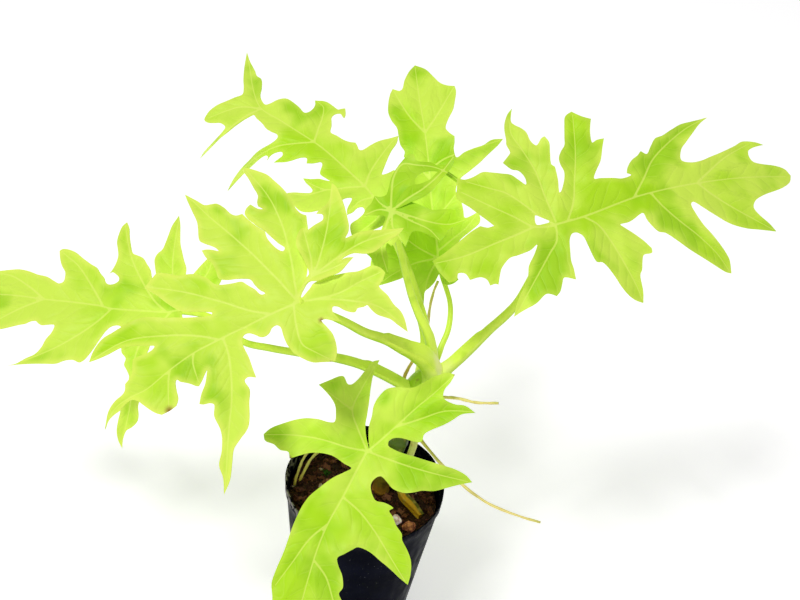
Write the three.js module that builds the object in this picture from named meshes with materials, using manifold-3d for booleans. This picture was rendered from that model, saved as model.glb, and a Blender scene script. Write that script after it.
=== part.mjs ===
// A potted golden lacy tree philodendron: seven cut leaves on long stalks in a thin nursery pot.
// Millimetres, +Z up. The origin is the centre of the pot's underside, on the surface it stands on.
import * as THREE from "three";
import { mergeVertices } from "three/addons/utils/BufferGeometryUtils.js";
import Module from "manifold-3d";

const wasm = await Module();
wasm.setup();

// Driving dimensions.
const POT_HEIGHT = 145;
const POT_TOP_RADIUS = 63;
const POT_BASE_RADIUS = 47;
const POT_WALL = 1.4;
const POT_FLOOR = 1.8;
const POT_SEGMENTS = 40;
const DRAIN_RADIUS = 4.5;
const DRAIN_CIRCLE = 36;
const DRAIN_COUNT = 6;
const RIM_HEIGHT = 7.5;
const RIM_STEP = 0.5; // how far the rim band stands out from the wall
const FOOT_CHAMFER = 1.5;
const SOIL_LEVEL = 128;
const SOIL_ROUGHNESS = 1.3;
const SOIL_EDGE_DROP = 2.5; // how far the soil falls away at the pot's wall
const GAP = 0.35; // what touching pieces keep between them
const BLADE = 1.1; // a blade's thickness
const KEEL = 1.1; // how far a rib stands out under the blade
const KEEL_REACH = 1.5; // how far to each side a rib runs out
const PUFF = 2.4; // how far the blade swells between its ribs
const PUFF_REACH = 7; // how far from a rib the swelling takes
const WAVE_REACH = 9; // how far in from the margin the waves run
const DROOP_CENTRE = 25; // where on the midrib the blade stands highest
const LIFT_REACH = 22; // how far from the seat an upper sheet takes to rise
const STALK_CLEARANCE = 7; // a stalk is cut back this far above its own blade
const NET = 12; // spacing of the points inside a blade
const NET_TO_MARGIN = 0.42; // least distance from those points to a margin, as a share of NET
const NET_APART = 0.55; // least distance between them, as a share of NET
const MARGIN_STEP = 10; // longest edge along a margin
const RIB_STEP = 8; // longest edge along a rib
const RIB_TO_MARGIN = 1.6;
const RIB_POINTS_APART = 4;
const EYE = new THREE.Vector3(8, -670, 844); // blades curl along the lines to this point in front
const GROWING_TIP = [38, 8, 268]; // the top of the stem

// Each leaf lies in its own frame, in mm: x runs along the midrib from the seat, where the stalk
// meets the blade, and y to its left. turn is the midrib's heading and pitch and the blade's roll,
// in degrees. A point marked ^ is a sharp tip or tooth, and the margin runs smoothly through the
// others. bends gives a base and a tip for each lobe that hangs, a width, and its drop at the tip.
const LEAVES = {
  "golden_leaf_right": {
    "seat": [108, 40, 387], "turn": [26, 3, 33], "scale": 1, "droop": 4, "wave": 1.6, "lifts": [0],
    "bends": [[70, 5, 195, 0, 60, 14], [15, 40, -5, 90, 22, 14], [30, -30, 45, -70, 24, 10],
      [-30, -30, -52, -61, 22, 14], [95, -30, 121, -62, 24, 10]],
    "margins": [`
      200,3^ 197,9 190,13 180,16 173,19 171,23 172,28 176,30 182,30.8 187,31^ 180,34.5 170,36.5 162,34
      150,31 140,29 130,27 121,27 114,30 117,38 123,43 132,50 140,56 148,60^ 135,59 124,58 115,55
      106,51.5 99,50 93,44 88,39 84,42^ 80,39 74,36 69,31 67,27^ 70,25 62,23.5 55,25 45,26.5 40,27
      44,33 50,40 55,50 58.5,56.5^ 52,56 48,54.5 49,62 52,70 53.5,73^ 47,76 40,81^ 34,78 31,71 28,62
      26,56 22,52 18.5,47 18,42 19,36 17,30 12,22 10,21 12,30 13,38 13,41 11,43 13,52 15,60 13,65^
      10,64 6,60 4,59 1,63 0,70 -3,74 -7,77 -9,80 -7,86 -5,90^ -10,86 -14,80 -16,74 -17,67 -18,63
      -17,57 -20,54 -25,50^ -20,44 -15,42 -12,36 -13,31 -17,35 -22,40 -28,42 -35,44 -42,45.5 -50,43
      -57,42 -62,44^ -65,35 -67,31 -65,27 -59,21 -55,16 -49,9 -46,5^ -51,4.5 -56,6.5^ -63,4 -73,-1
      -85,-7 -97,-12^ -95,-20 -90,-29^ -84,-28 -82,-24 -77,-25 -75,-30^ -67,-29.5 -63,-32 -62,-36.5^
      -58,-36 -56,-37^ -53,-31 -50,-26 -42,-20 -35,-19 -25,-17 -19,-14 -23,-20 -30,-28 -33,-35
      -38,-42 -45,-50 -52,-61^ -43,-58 -33,-55 -24,-50 -20,-51 -17,-53^ -13,-50 -10,-45 -7,-41 1,-44^
      2,-36 2,-30 4,-22 6,-15 9,-11 13,-10.5 17,-14 18.5,-22 19.5,-30 21,-34.5 25,-35.5 28,-40
      31,-48 33,-55 36,-62 40,-67 45,-70^ 48,-62 50,-50 53,-46 55,-41 58,-36 65,-35.5 66,-32^ 62,-26
      56,-19 50,-13 48,-10.5 55,-10 61,-8 65,-6 69,-5 70,-10 72,-15 76,-21 81,-23 88,-30 95,-38
      103,-46 110,-53 117,-60 121,-62^ 123,-55 123.5,-50 121,-40 117,-30 113,-22 110,-12 109,-5
      112,-3.5 118,-9 125,-16 135,-25 147,-31 158,-34 170,-37.5^ 167,-31 161,-22 159,-16 163,-11
      172,-8 182,-6.5 190,-5 197,-2`],
    "holes": ["-15,0.5 -13.5,7.5 -9,4.5 -4,0.8 -9,0"],
    "ribs": ["0,-2 22,0 66,7.5 90,9.5 120,10 160,8 195,3",
      "0,0 -2,20 -3,40 -8,58 -12,72 -7,86", "9,-1 18,12 24,27 31,45 36,62 40,78",
      "66,8 78,20 90,33 105,43 125,53 146,60", "121,11 150,26 172,33",
      "120,10 128,0 140,-12 155,-25 168,-36", "80,8.5 86,-3 95,-16 106,-30 115,-45 120,-60",
      "22,0 31,-8 36,-20 40,-35 44,-55 45,-68", "-1,-2 -10,5 -20,17 -30,27 -42,33 -56,40",
      "-1,-3 -17,-1 -30,9 -45,20 -62,33", "-17,-1 -30,-4 -50,-8 -75,-13 -95,-14",
      "-1,-4 -4,-14 -12,-22 -22,-32 -35,-45 -50,-60"],
  },
  "golden_leaf_back": {
    "seat": [-21, 60, 373], "turn": [143, 7, -19], "scale": 1, "droop": 3, "wave": 1.3, "lifts": [0],
    "bends": [[100, -4, 177, -30, 60, 16], [85, 15, 84, 66, 20, 10], [16, 8, 50, 30, 22, 14]],
    "margins": [`
      177,-36^ 168,-31 158,-27 152,-24 147,-24 140,-18 135,-12 130,-9 125,-8 123,-12 122,-17
      120,-21 117,-23.5 110,-24 103,-23.5 97,-22.5 95,-25 95,-30 97,-34 100,-36.5^ 98,-38 95,-40.5
      91,-42 85,-42 80,-42 79,-44 77,-46.5^ 75,-45 72,-42 70.5,-39^ 73,-39.5 76,-40.3 78.5,-37 78,-33
      75,-30 72,-27 69,-23 67,-22 62,-23 56,-23.5 51,-25 47,-27.5^ 44,-26.5 40,-24.5 38,-26 37,-33
      36,-38 34,-43 31,-48 28,-54^ 24,-48 22,-41 19,-34 16,-28 13,-22 11,-19 9,-22 7.5,-28^ 0,-27
      -7,-20 -11,-10 -16,-2 -22,4 -22,14 -18,26 -14,36^ -8,32.5 -4.5,28.5 -5,21 -4,14 0,12 2.3,15 2,20
      3.5,24.5^ 7.5,20 10,14 11.5,11.5 13.5,12.5 15.5,16 15,22 17,29 22,36.5 25,41 30,44.5 36,44.5 43,43
      49.5,40^ 46,36 41,32 37,28 38,25.5 42,24.5 47,24 51,22.5^ 46,19 42,15 38,13 34.5,11 36,11
      40,11.5 44,11.5 46,10 48,7 50,4 52.5,3 54,5 56,8 59.5,11^ 61,9 63,7.5 65.5,9 67.5,12 69.5,17
      72,21 75,24 78,27^ 78,22 78,18 80,16 82,16.5 84,20 84.5,24 83,29^ 85,26 87,26 88,30 87.5,38
      86.5,48 85,58 83,68^ 87,60 90,52 92,45 93,38 94.5,30 94.5,25 93.5,18 93,12 94,8 97,6.5
      101,7.5 107,8 113,6.5 120,6 124,5 125,8 126,15 126,25 125,38 123,50 121,62^ 124,55 126,45
      128,36 130,29 132,27.5 137,28 140,31 144,34 148,34 150,31 152,25 152,17 150,10 148,3 146,-3
      150,-8 157,-14 165,-22 172,-30`],
    "holes": [],
    "ribs": ["-12,1 0,0 12,-2.5 30,-4.5 45,-6 60,-7 70,-7 85,-6 105,-4.5 124,-3 140,-10 160,-24 175,-35",
      "12,-2.5 18,-13 23,-28 27,-45 28,-52", "12,-2.5 20,6 30,18 40,22 49,22.8", "30,18 38,32 48,39",
      "70,-7 78,2 86,12 90,22 91,40 84,66", "70,-7 77,-18 83,-28 90,-36 97,-37",
      "124,-3 127,10 127,28 122,60", "124,-3 138,8 147,31", "0,0 5,9 4.5,22",
      "-12,1 -15,14 -14,33", "-12,1 -4,-12 5,-26"],
  },
  "golden_leaf_left": {
    "seat": [-59.6, -41.4, 347.8], "turn": [-148, -26, -27], "scale": 0.952, "droop": 4, "wave": 1.8,
    "lifts": [0, 7],
    "bends": [[80, -5, 158, 5, 70, 18], [66, 25, 111, 88, 30, 20], [8, 30, 0, 52, 20, 12],
      [16, -75, 27, -115, 30, 10], [-20, -75, -20, -110, 24, 12], [-30, 15, -55, 60, 26, 16]],
    "margins": [`
      158,5^ 153,1 148,-0.5 143,-1 137,-3 132,-3 129,0.5^ 126,8 123,14 120,17.5^ 114,18 108.5,17.5^
      105,14 103,8 101,3 99,1.5 98,4 96,6 93,9 90,13 88.5,14^ 85,12 81,9 78,7 80,10 84,15 90,20
      94.5,25^ 92,27 88,28.5 86,31 90,38 91,48 93,54 98,62 104,69 106,78 111,88^ 103,82 96,73
      90,65 84,62 75,58 70,52 65,43 60,35 60,28 57,27 55,28 52,30.5^ 51,25 49,15 48,5 46,1 43,-0.5
      40,0.5 37,4 35,7 32,8.5 28,8 25,6 21,6 19.5,9 21,15 22,22 21,30 17,38 13,43 8,46 3,49 0,50^
      -4,46 -7,40 -8.5,33 -8,27 -7,22 -7,20^ -10,21 -14,25 -18,28^ -17.5,23 -17,19 -19,16 -22,18
      -24,22 -27,26 -30,28 -33,26.5 -37,28 -40,28^ -40.5,33 -42,38 -45,42 -48,46 -50,52 -53,60^
      -56,52 -57,45 -55.5,38 -55.5,30 -54,21 -58,19 -63,15^ -62,10 -58,5.5 -52,4.5 -47,3.5 -42,1
      -36,-1.5 -26,-5 -16,-6 -13,-4.5 -4,-1.5 -4,-3 -11,-8 -14,-12 -18,-17 -21.5,-25 -24,-33 -28,-39
      -34,-43 -36,-47 -38.5,-52.5^ -36,-56 -35,-61 -35.5,-68 -35.5,-75 -34.5,-82 -33,-88 -31,-95
      -27,-101 -23,-106 -20,-109^ -18,-108 -18,-100 -17.5,-92 -17,-85 -14,-81 -13,-78^ -15,-74
      -12,-76 -9,-82^ -5,-81 -2,-78 -2,-73 -4,-67 -7.2,-58 -9,-51 -11,-45 -13,-40 -10.5,-38.5 -8,-42
      -7,-48 -6,-54 -3.2,-64 -1,-72 -0.5,-79^ 4,-80.5 6.5,-84 8,-90 11,-96 15,-98 19,-100 22,-106
      27,-115^ 28,-109 29,-100 30,-92 32,-87 35.5,-79 34,-75 31,-71 28.5,-67 28,-64 31,-67 35,-70
      38,-71^ 38,-65 36.5,-58 37,-52 38,-46 34,-42 28,-39 23,-36 19.5,-33 19,-28 18,-23 16,-18.5
      19,-19.5 20.5,-25 23,-30 25.5,-35 31,-37.3 38,-40.5 42.5,-44 45,-51 50,-58^ 53,-60 57,-62
      62,-64.5 66,-68.5 70,-72 73,-74 78,-72.5 82,-71 86,-69^ 84,-65 81,-59 79,-53 77,-48 74.5,-43
      71,-38.5 66,-35 60,-31 54.5,-27 56,-25.5 60,-27 66,-30.5 72,-34 78,-38 84,-41.5 90,-46
      97,-50.5 105,-52.5 113,-53 121,-53 128,-53 134,-51 140,-47.5 145,-43^ 138,-41.5 130,-40.5
      122,-40 116,-38 110,-34.5 104,-30.5 100.5,-28 103,-26.5 108,-26.5 113,-27.5 118,-28^ 120.5,-24
      123,-20 126,-17.5 131,-15.5^ 133,-12 136,-10 142,-9 147,-7 151,-4 155,1`,
    `
      -1.5,-1 -8,-6 -14,-9 -20,-6 -28,-4.5 -36,-3 -45,-5.5 -50.5,-7^ -46,-9.5 -42,-10.2 -46,-10.6
      -52,-9.5 -58,-5 -64,-2.5 -71,-3 -78,-4 -86,-4 -92,-6^ -85,-9.5 -78,-13.5 -70,-18 -63,-21
      -57,-21.8 -53,-22.5 -57,-25 -60,-29 -62,-34 -64,-40 -66,-47 -67.5,-55 -68,-59 -67,-63.5^
      -63,-59 -59,-54 -54,-51.5 -48,-51 -45,-49.5^ -48.5,-47 -48,-44.5 -46,-43 -40,-43 -34,-42.5^
      -31,-46 -27,-44.5 -23,-41 -20.5,-36 -20,-28 -19,-20 -17.5,-14 -13,-12 -8,-8.5 -1.5,-3`],
    "holes": [],
    "ribs": ["0,0 20,-3 40,-5 60,-7 80,-8.5 100,-7 120,-4 132,-5 145,-4 157,4",
      "20,-3 32,-14 45,-30 60,-47 75,-61 84,-68", "60,-7 72,-18 90,-30 115,-42 143,-43.5",
      "57,-7 60,6 66,20 75,36 85,50 97,68 109,86", "80,-8.5 84,-2 87,11", "100,-7 106,2 113,15",
      "0,0 3,-20 8,-45 14,-68 21,-92 26,-113", "0,0 -6,-15 -13,-32 -20,-55 -23,-80 -20,-107",
      "3,-1 9,12 13,27 8,38 2,48", "0,0 -12,5 -28,10 -45,11 -60,13", "-12,5 -30,18 -46,34 -53,57",
      "-1,-2 -11,-9 -18,-11 -30,-20 -45,-35 -57,-50 -66,-62", "-18,-11 -24,-22 -28,-34 -31,-44",
      "-18,-11 -40,-13 -60,-13 -78,-9 -91,-6", "-18,-11 -35,-8 -49,-7"],
  },
  "golden_leaf_far_left": {
    "seat": [-153, 10, 284], "turn": [175, -8, -28], "scale": 1, "droop": 4, "wave": 1.6, "lifts": [0],
    "bends": [[90, 0, 188, -4, 60, 16], [20, 40, 16, 108, 24, 16], [45, -40, 56, -70, 20, 8],
      [13, -40, 16, -79, 20, 8], [80, 35, 117, 55, 24, 10]],
    "margins": [`
      188,-4^ 178,3 168,11 160,18 153,25 147,31^ 140,29 131,27 125,25 118,22.5 113,21 110,19 106,18
      103,20 100,21 95,20 90.5,20 91,26 94,32 95.5,38 99,44 105,48 111,53 117,55^ 110,53.5 100,52
      90,51 81,50 75,47 69,46 64,47.5 61,45.5 58.5,41.5 56,36 53,28 50,21 46.5,17 41,16 37,20 36,27
      35.5,32 34,37 30,41 30,46 27,50 24,55 24,64 25,73 24,82 24,88 23,96 20,103 16,108^ 17,101
      16,95 13,92.5 10,88 10,83 12,76 12,70 14,62 16,52 16,44 15.5,37 14.5,33 14,29 10,21 3,12 -5,7
      -4,2.5 -2,-1 -8,-5 -18,-12 -26,-22 -28,-32 -24,-42 -18,-50^ -14,-45 -10,-39 -6,-32 -4,-28
      -2,-22 0,-28 1,-35 4,-41 7,-48 10,-55 12,-63 14,-72 16.5,-79^ 20,-70 21,-62 22,-54 23,-49
      26,-45 27,-40 25,-33 23,-27 23,-20 26,-26 28,-31 32,-36 36,-40.5 41,-42.5 45,-44 48,-50
      51,-58 53,-65 56,-70^ 59,-66 60,-60 60,-53 58,-47 56,-41 56,-35 57.5,-29 59,-25.5^ 57,-27
      54,-25.5 51,-23 50.5,-20 53,-17.5 57,-16.5 60,-18 62,-21.5 66,-25 70,-29.5 75,-32 82,-36
      90,-41 96,-43 101,-43 103,-41^ 101,-35 98,-29 94,-24 93,-20 93,-16 96,-14 100,-15.5 105,-18
      108,-19 115,-20 122,-22 130,-23 138,-22 145,-20.5 152,-19 163,-16 175,-11`],
    "holes": [],
    "ribs": ["0,0 8,2 20,2.5 50,3 60,1.5 80,0.5 105,0 125,-1 145,-1 170,-2 186,-4",
      "8,2 20,-7 35,-25 45,-40 52,-55 57,-68", "57,1.5 70,-14 85,-30 97,-38 102,-42",
      "104,0 118,-9 135,-17 150,-18", "50,3 58,14 70,26 85,38 100,47 115,54.5",
      "104,0 120,9 135,20 146,30", "0,0 6,-15 11,-32 14,-50 16,-77", "-1,0 -8,-15 -16,-32 -18,-48",
      "4,1 12,14 22,30 22,50 18,75 17,106"],
  },
  "golden_leaf_centre": {
    "seat": [-7.4, 30.9, 382.2], "turn": [0, -1, 28], "scale": 1.031, "droop": 6, "wave": 1.4,
    "lifts": [0, 8],
    "bends": [[18, 36, 45, 31, 12, 9], [10, 0, 52, 3, 22, 5], [-4, -20, 4, -47, 22, 10]],
    "margins": [`
      43.5,9^ 44,5 47,3.5 52,3^ 48.5,-1 44,-4 40.5,-7 38.5,-12 35.5,-17^ 32,-14.5 28,-13 24,-11.8
      20,-11.3 17,-12.3 15.3,-15 14.5,-19 13.5,-25^ 11,-22 8,-19.5 6.5,-22 4,-26^ 1,-24 0.5,-28
      2.5,-33 3.5,-39 5,-47^ -1,-45 -6,-41 -8,-37 -12,-34^ -8,-31 -5,-26 -5,-18 -3.5,-10 -3,-4.5
      -10,-4.5 -18,-6^ -17,-1 -14,4 -12.5,10^ -8.5,10 -5,12 -4,18 -3.5,25 -2,31 0,36 3,42 6,46.5
      9.5,47 11,44 13,42.5 17,42.6 22,43 26,41.5 30,39.8 35,37.8 41,34.5 45.5,31^ 44,29.5 39,32
      33,35.2 27,36.7 22,36 18,34.5 14.5,31.5 13,28 13,23.5 12,16 13,10 18,8.8 25,6.8 28,6.3
      36,8.3`,
    `
      37.5,52^ 37.5,45 35.5,39 32,33 28,25.5 25,20.5 20,15 13,10 8,6 3,3 3,8 6,16 9,21 13,23.5
      16,24.5 20,27 23,29.5 26,34 30,40 34,46`],
    "holes": [],
    "ribs": ["0,1 -1.5,15 -1.5,28 3,38 12,39 24,39.5 35,36.5 44,30.5", "1,1 10,12 20,22 30,36 37,50",
      "1,1 15,-1.5 28,-3.5 40,-3 50,2", "2,0 15,-5 27,-9 35,-15.5", "1,0 3,-12 9,-19 13,-24",
      "0,0 -2,-15 -2,-30 4,-45", "0,0 -8,0 -16,-5", "0,1 -8,5 -12,9"],
  },
  "golden_leaf_front": {
    "seat": [-0.7, -55.6, 233.4], "turn": [-109, -39, -13], "scale": 0.96, "droop": 4, "wave": 1.5,
    "lifts": [0],
    "bends": [[90, -3, 165, 2, 60, 14], [-5, 40, -9, 81, 26, 8], [8, -40, 18, -76, 26, 8],
      [55, 35, 78, 65, 26, 8]],
    "margins": [`
      165,2^ 158,10 148,18 138,22 130,24 131,32 128,42^ 120,36 113,29 107,25 103,21 98,22 90,18
      85,13 80,10 75,14 70,18 67,21 67,30 70,40 73,50 76,58 78,65^ 70,64 62,61 56,56 50,49 46,47
      42,41 37,36 34,32 31,34 30,27 31,20 28,16 24,13 20,12 15,14 13,17 15,22 18,28 18,36 15,43
      11,49 8,57 3,64 -3,72 -9,81^ -12,75 -13,65 -12,55 -11,45 -10,35 -9,25 -9,17 -10,13 -14,12
      -17,15 -19,20 -20,28 -21,33 -23,35 -28,34.5 -33,38 -40,45 -46,50 -53,55 -58,64^ -60,55
      -58,47 -59,38 -65,36 -72,38 -79,39^ -78,33 -72,26 -65,20 -58,14 -55,8 -52,0 -48,-5 -40,-8
      -33,-8.5 -26,-7 -18,-6 -10,-3 -2,1 -10,-5 -18,-9 -25,-10.5 -35,-13 -45,-16 -55,-18 -67,-18^
      -64,-22 -55,-25 -48,-27 -42,-30 -41,-33 -45,-38 -44,-41 -38,-47 -32,-53^ -28,-43 -23,-36
      -18,-33 -11,-31 -9,-35 -8,-43 -5,-52 0,-60 6,-67 12,-73 18,-76^ 22,-73 22,-66 24,-60 23,-54
      27,-51^ 22,-45 17,-38 14,-30 13,-22 15,-12 16,-6 20,-9 28,-16 38,-22 48,-27 60,-29 75,-29
      90,-28 105,-28 115,-27 125,-22 138,-18 150,-12 160,-6`],
    "holes": [],
    "ribs": ["0,0 20,-2 38,-3.5 60,-6 80,-6 100,-4 125,-1 163,1", "0,2 -1,25 -3,45 -8,78",
      "-1,1 -15,8 -28,14 -45,22 -60,30 -77,38", "-25,13 -38,28 -50,42 -58,62",
      "0,0 -12,-12 -24,-22 -40,-22 -64,-19", "-24,-22 -31,-50", "0,0 3,-15 5,-35 10,-55 18,-75",
      "38,-3 43,12 52,28 62,42 77,63", "88,-5 96,8 112,22 127,40", "60,-6 75,-14 95,-19 115,-24"],
  },
  "golden_leaf_top": {
    "seat": [31.9, 78.8, 314.6], "turn": [105, 35, -10], "scale": 1.04, "droop": 3, "wave": 1.3,
    "lifts": [0],
    "bends": [[75, 0, 157, 4, 60, 14], [78, -25, 91, -58, 24, 8], [-10, 5, -50, 15, 30, 6]],
    "margins": [`
      157,4^ 152,9 145,13 138,15.2 136.3,17.5 138.3,22.7^ 134,25 127,26.8 119,27.5 112,25.5 106,22
      100,21.3 92,20.5 86,17.7 82,18.7^ 78,15 70,15 62,18 54,24 44,30 34,32 24,35 14,42 5,48
      -5,50 -18,46^ -16,37 -13.5,28 -12,25 -20,23.5 -35,19.5 -50,15.5^ -45,12.5 -38,14 -30,13
      -25,12 -22,8 -18,4 -14,1.5 -12,0 -16,-0.5 -20,-1.5^ -21,-6 -20,-10 -17.5,-13.5^ -14,-12
      -11,-14 -8,-17 -3,-19^ 0,-14 3,-10 8,-13 14.3,-19 19.3,-26 25,-33 29,-34 34,-33^ 31,-27 30,-22.5
      36,-22 44,-21 50,-18
      56,-19 62,-23 67,-30 73,-38 80,-46 86,-53 91,-57.5^ 91,-49 87,-42 85,-35 82,-27 78.5,-21
      85,-19.5 91,-20.7 96,-21^ 99,-17.5 103,-15 110,-17.5 118,-22 126,-24.3 133,-25.7 137.5,-25^
      138.5,-19 141,-14 147,-9 153,-4`],
    "holes": [],
    "ribs": ["0,0 18,0 45,1 70,0.5 100,1 130,3 155,4", "70,0 78,-12 84,-32 90,-55",
      "62,0.5 72,8 82,17", "100,1 115,12 136,22", "100,1 115,-10 136,-24", "0,0 10,15 25,30",
      "0,0 -3,18 -10,34 -17,45", "0,0 -18,10 -48,15", "0,0 -12,-6 -18,-11", "5,0 14,-12 22,-23 31,-31",
      "30,0 40,-10 48,-17", "30,0 38,14 44,28"],
  },
};

// Stalks: points from the stem to the leaf's seat, and the radius at the stem, halfway and at the
// seat. A stalk later in this list is cut back where it would meet one before it.
const STALKS = {
  "leaf_stalk_centre": { "leaf": "golden_leaf_centre", "radii": [5.8, 4.2, 3.4, 2.9, 2.4],
    "route": [[36.9, 8.1, 250.8], [35.8, 7, 277.3], [29.6, 9.9, 295.8], [22.7, 13, 309],
      [15.8, 16.8, 321.4], [9.3, 22, 336.3], [1.4, 28.7, 356.6], [-7.3, 34, 379.9]] },
  "leaf_stalk_right": { "leaf": "golden_leaf_right", "radii": [6.5, 4.8, 3.6, 3.1, 2.8],
    "route": [[38.7, 6.9, 249.2], [44.4, 9.3, 262.2], [52.7, 11.5, 271.7], [63.5, 16.7, 283.4],
      [76.1, 23.4, 297.1], [85.3, 27, 308.3], [92.3, 30.2, 319.1], [98.2, 34.1, 335.6],
      [104.1, 37.2, 359.5], [107.2, 42, 385.3]] },
  "leaf_stalk_left": { "leaf": "golden_leaf_left", "radii": [6.8, 5.4, 3.9, 3, 2.8],
    "route": [[36.8, 6.1, 246.6], [36.2, 6.3, 263.3], [28.2, 1.5, 276.7], [16.2, -4.5, 288.6],
      [1.1, -12.4, 301.4], [-13.4, -21, 313.1], [-27.7, -28.4, 326.4], [-41.5, -34.5, 336.6],
      [-59.1, -40.3, 347.1]] },
  "leaf_stalk_far_left": { "leaf": "golden_leaf_far_left", "radii": [5.2, 4.2, 3.7, 2.8, 2.5, 2.3],
    "route": [[29.1, 6.8, 234.3], [22.8, 3.7, 245.1], [15.4, 3, 250.8], [0.3, 3.3, 257.7],
      [-15.2, 4.7, 262], [-32.7, 5.6, 264], [-60.5, 6.6, 262.9], [-83.2, 8.1, 262.4],
      [-103.7, 9.3, 263.9], [-127, 12.5, 272.1], [-155.7, 13.8, 281.2]] },
  "leaf_stalk_top": { "leaf": "golden_leaf_top", "radii": [2.8, 2.2, 1.9, 1.9],
    "route": [[35.7, 10.6, 252.5], [41.1, 21.1, 264.4], [43.3, 28.3, 270.6], [46.6, 38.3, 278.7],
      [46.8, 48.6, 287.2], [44.8, 56.9, 293], [41, 63.7, 298.7], [36.7, 70.2, 304.7],
      [32.1, 77.3, 313]] },
  "leaf_stalk_back": { "leaf": "golden_leaf_back", "radii": [5, 3.4, 2.6],
    "route": [[31, 12, 250], [31, 28, 275], [20, 44, 300], [4, 56, 330], [-12, 62, 356], [-21, 61, 372]] },
  "leaf_stalk_front": { "leaf": "golden_leaf_front", "radii": [5, 3.4, 2.6],
    "route": [[25, 5, 208], [20, -16, 222], [10, -38, 230], [-0.5, -56, 229.5]] },
};

const STEM = { "radii": [6.5, 7, 8, 8.3, 8.5, 4],
  "route": [[12.5, 10, 118], [14, 9.5, 140], [20.5, 8, 183], [25, 8, 215], [29, 8, 245], GROWING_TIP] };

const ROOTS = {
  "aerial_root_front": { "radii": [1.5, 1.2, 0.9],
    "route": [[25, 6, 213], [33, -3, 208], [40, -9, 204.5], [55, -25, 201], [74, -40, 196],
      [93, -52, 194], [115, -62, 196], [130, -71, 202]] },
  "aerial_root_right": { "radii": [1.5, 1.2, 1], "route": [[29, 7, 238], [46, 3, 242], [60, 0, 246],
    [74, -4, 248], [90, -8, 254]] },
  "aerial_root_back": { "radii": [1.4, 1.2, 1],
    "route": [[18, 14.1, 239], [19.8, 22.9, 243.8], [23.3, 31.4, 248.3], [27.8, 41.1, 256.1],
      [31.6, 48.9, 264.5], [31.2, 55.9, 273.7], [31.2, 61.7, 283], [32.4, 67.2, 291.7],
      [34.4, 70.9, 299]] },
  "pot_root_outer": { "radii": [1.2, 1.1, 0.9], "route": [[-55, 1, 121], [-56, 2.5, 129], [-54.6, 11, 135],
    [-52.6, 19, 139.5], [-48.5, 28, 142.5], [-42, 37, 139], [-37, 43, 131], [-36, 44, 121]] },
  "pot_root_inner": { "radii": [1.3, 1.2, 1], "route": [[-51.5, 4, 121], [-52.2, 6.5, 129],
    [-50, 13.5, 133], [-46.3, 22.5, 138], [-40, 31, 140.5], [-34, 37.5, 137.5], [-29, 43, 130],
    [-28, 44, 121]] },
};

const WITHERED_STALK = { "radii": [2.8, 2.8, 2.8, 2.8, 3.2, 3.8, 4, 3.2],
  "route": [[27, 5, 222], [33.5, 0, 200], [32, 1, 178], [29.5, 4, 152], [29, 4, 139], [33, 0, 132.8],
    [40, -6, 131.5], [48, -14.5, 129]] };
const CHIPS = {
  "pumice_chip": { "centre": [28, -22, 129.5], "size": [4.8, 4.2, 3.4], "color": 0xd9cdc2 },
  "clay_chip": { "centre": [39.3, -26.5, 129], "size": [5.4, 4.8, 3.8], "color": 0xa4562f },
};

// Materials.
const matte = (color, roughness = 0.8) => new THREE.MeshStandardMaterial({ color, roughness, metalness: 0 });

const vector = (p) => new THREE.Vector3(...p);
const sub = (a, b) => [a[0] - b[0], a[1] - b[1]];
const length = (a) => Math.hypot(a[0], a[1]);

// The points of a line of text, with a flag on each sharp one.
function readPoints(text) {
  return text.trim().split(/\s+/).map((word) => {
    const [x, y] = word.replace("^", "").split(",").map(Number);
    return { at: [x, y], sharp: word.endsWith("^") };
  });
}

// A smooth line through the points, in steps no longer than step. Sharp points keep their corner.
function smoothLine(text, step, closed) {
  const given = readPoints(text);
  const count = given.length;
  const p = (i) => given[(i + count) % count].at;
  const corner = (i) => given[(i + count) % count].sharp || (!closed && (i <= 0 || i >= count - 1));
  const line = [];
  for (let i = 0; i < (closed ? count : count - 1); i += 1) {
    const a = p(i);
    const b = p(i + 1);
    const chord = sub(b, a);
    const reach = length(chord);
    const slope = (before, after, flat) => {
      const scale = reach / (length(sub(p(flat), before)) + length(sub(after, p(flat))));
      return [(after[0] - before[0]) * scale, (after[1] - before[1]) * scale];
    };
    const start = corner(i) ? chord : slope(p(i - 1), b, i);
    const end = corner(i + 1) ? chord : slope(a, p(i + 2), i + 1);
    const steps = Math.max(1, Math.ceil(reach / step));
    for (let k = 0; k < steps; k += 1) {
      const t = k / steps;
      const toB = 3 * t ** 2 - 2 * t ** 3;
      const leaving = t ** 3 - 2 * t ** 2 + t;
      const arriving = t ** 3 - t ** 2;
      line.push([0, 1].map((c) => (1 - toB) * a[c] + toB * b[c] + leaving * start[c] + arriving * end[c]));
    }
  }
  if (!closed) line.push(p(count - 1));
  return line;
}

// How far a point is from a line.
function nearLine(point, line, closed) {
  let best = Infinity;
  const last = closed ? line.length : line.length - 1;
  for (let i = 0; i < last; i += 1) {
    const a = line[i];
    const along = sub(line[(i + 1) % line.length], a);
    const from = sub(point, a);
    const share = (from[0] * along[0] + from[1] * along[1]) / (along[0] ** 2 + along[1] ** 2);
    const t = Math.min(1, Math.max(0, share));
    best = Math.min(best, length(sub(from, [along[0] * t, along[1] * t])));
  }
  return best;
}

// Whether a point lies inside the outline that the loops make together.
function inside(point, loops) {
  let odd = false;
  for (const loop of loops) {
    for (let i = 0, j = loop.length - 1; i < loop.length; j = i, i += 1) {
      const [ax, ay] = loop[i];
      const [bx, by] = loop[j];
      if (ay > point[1] === by > point[1]) continue;
      if (point[0] < ((bx - ax) * (point[1] - ay)) / (by - ay) + ax) odd = !odd;
    }
  }
  return odd;
}

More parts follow.
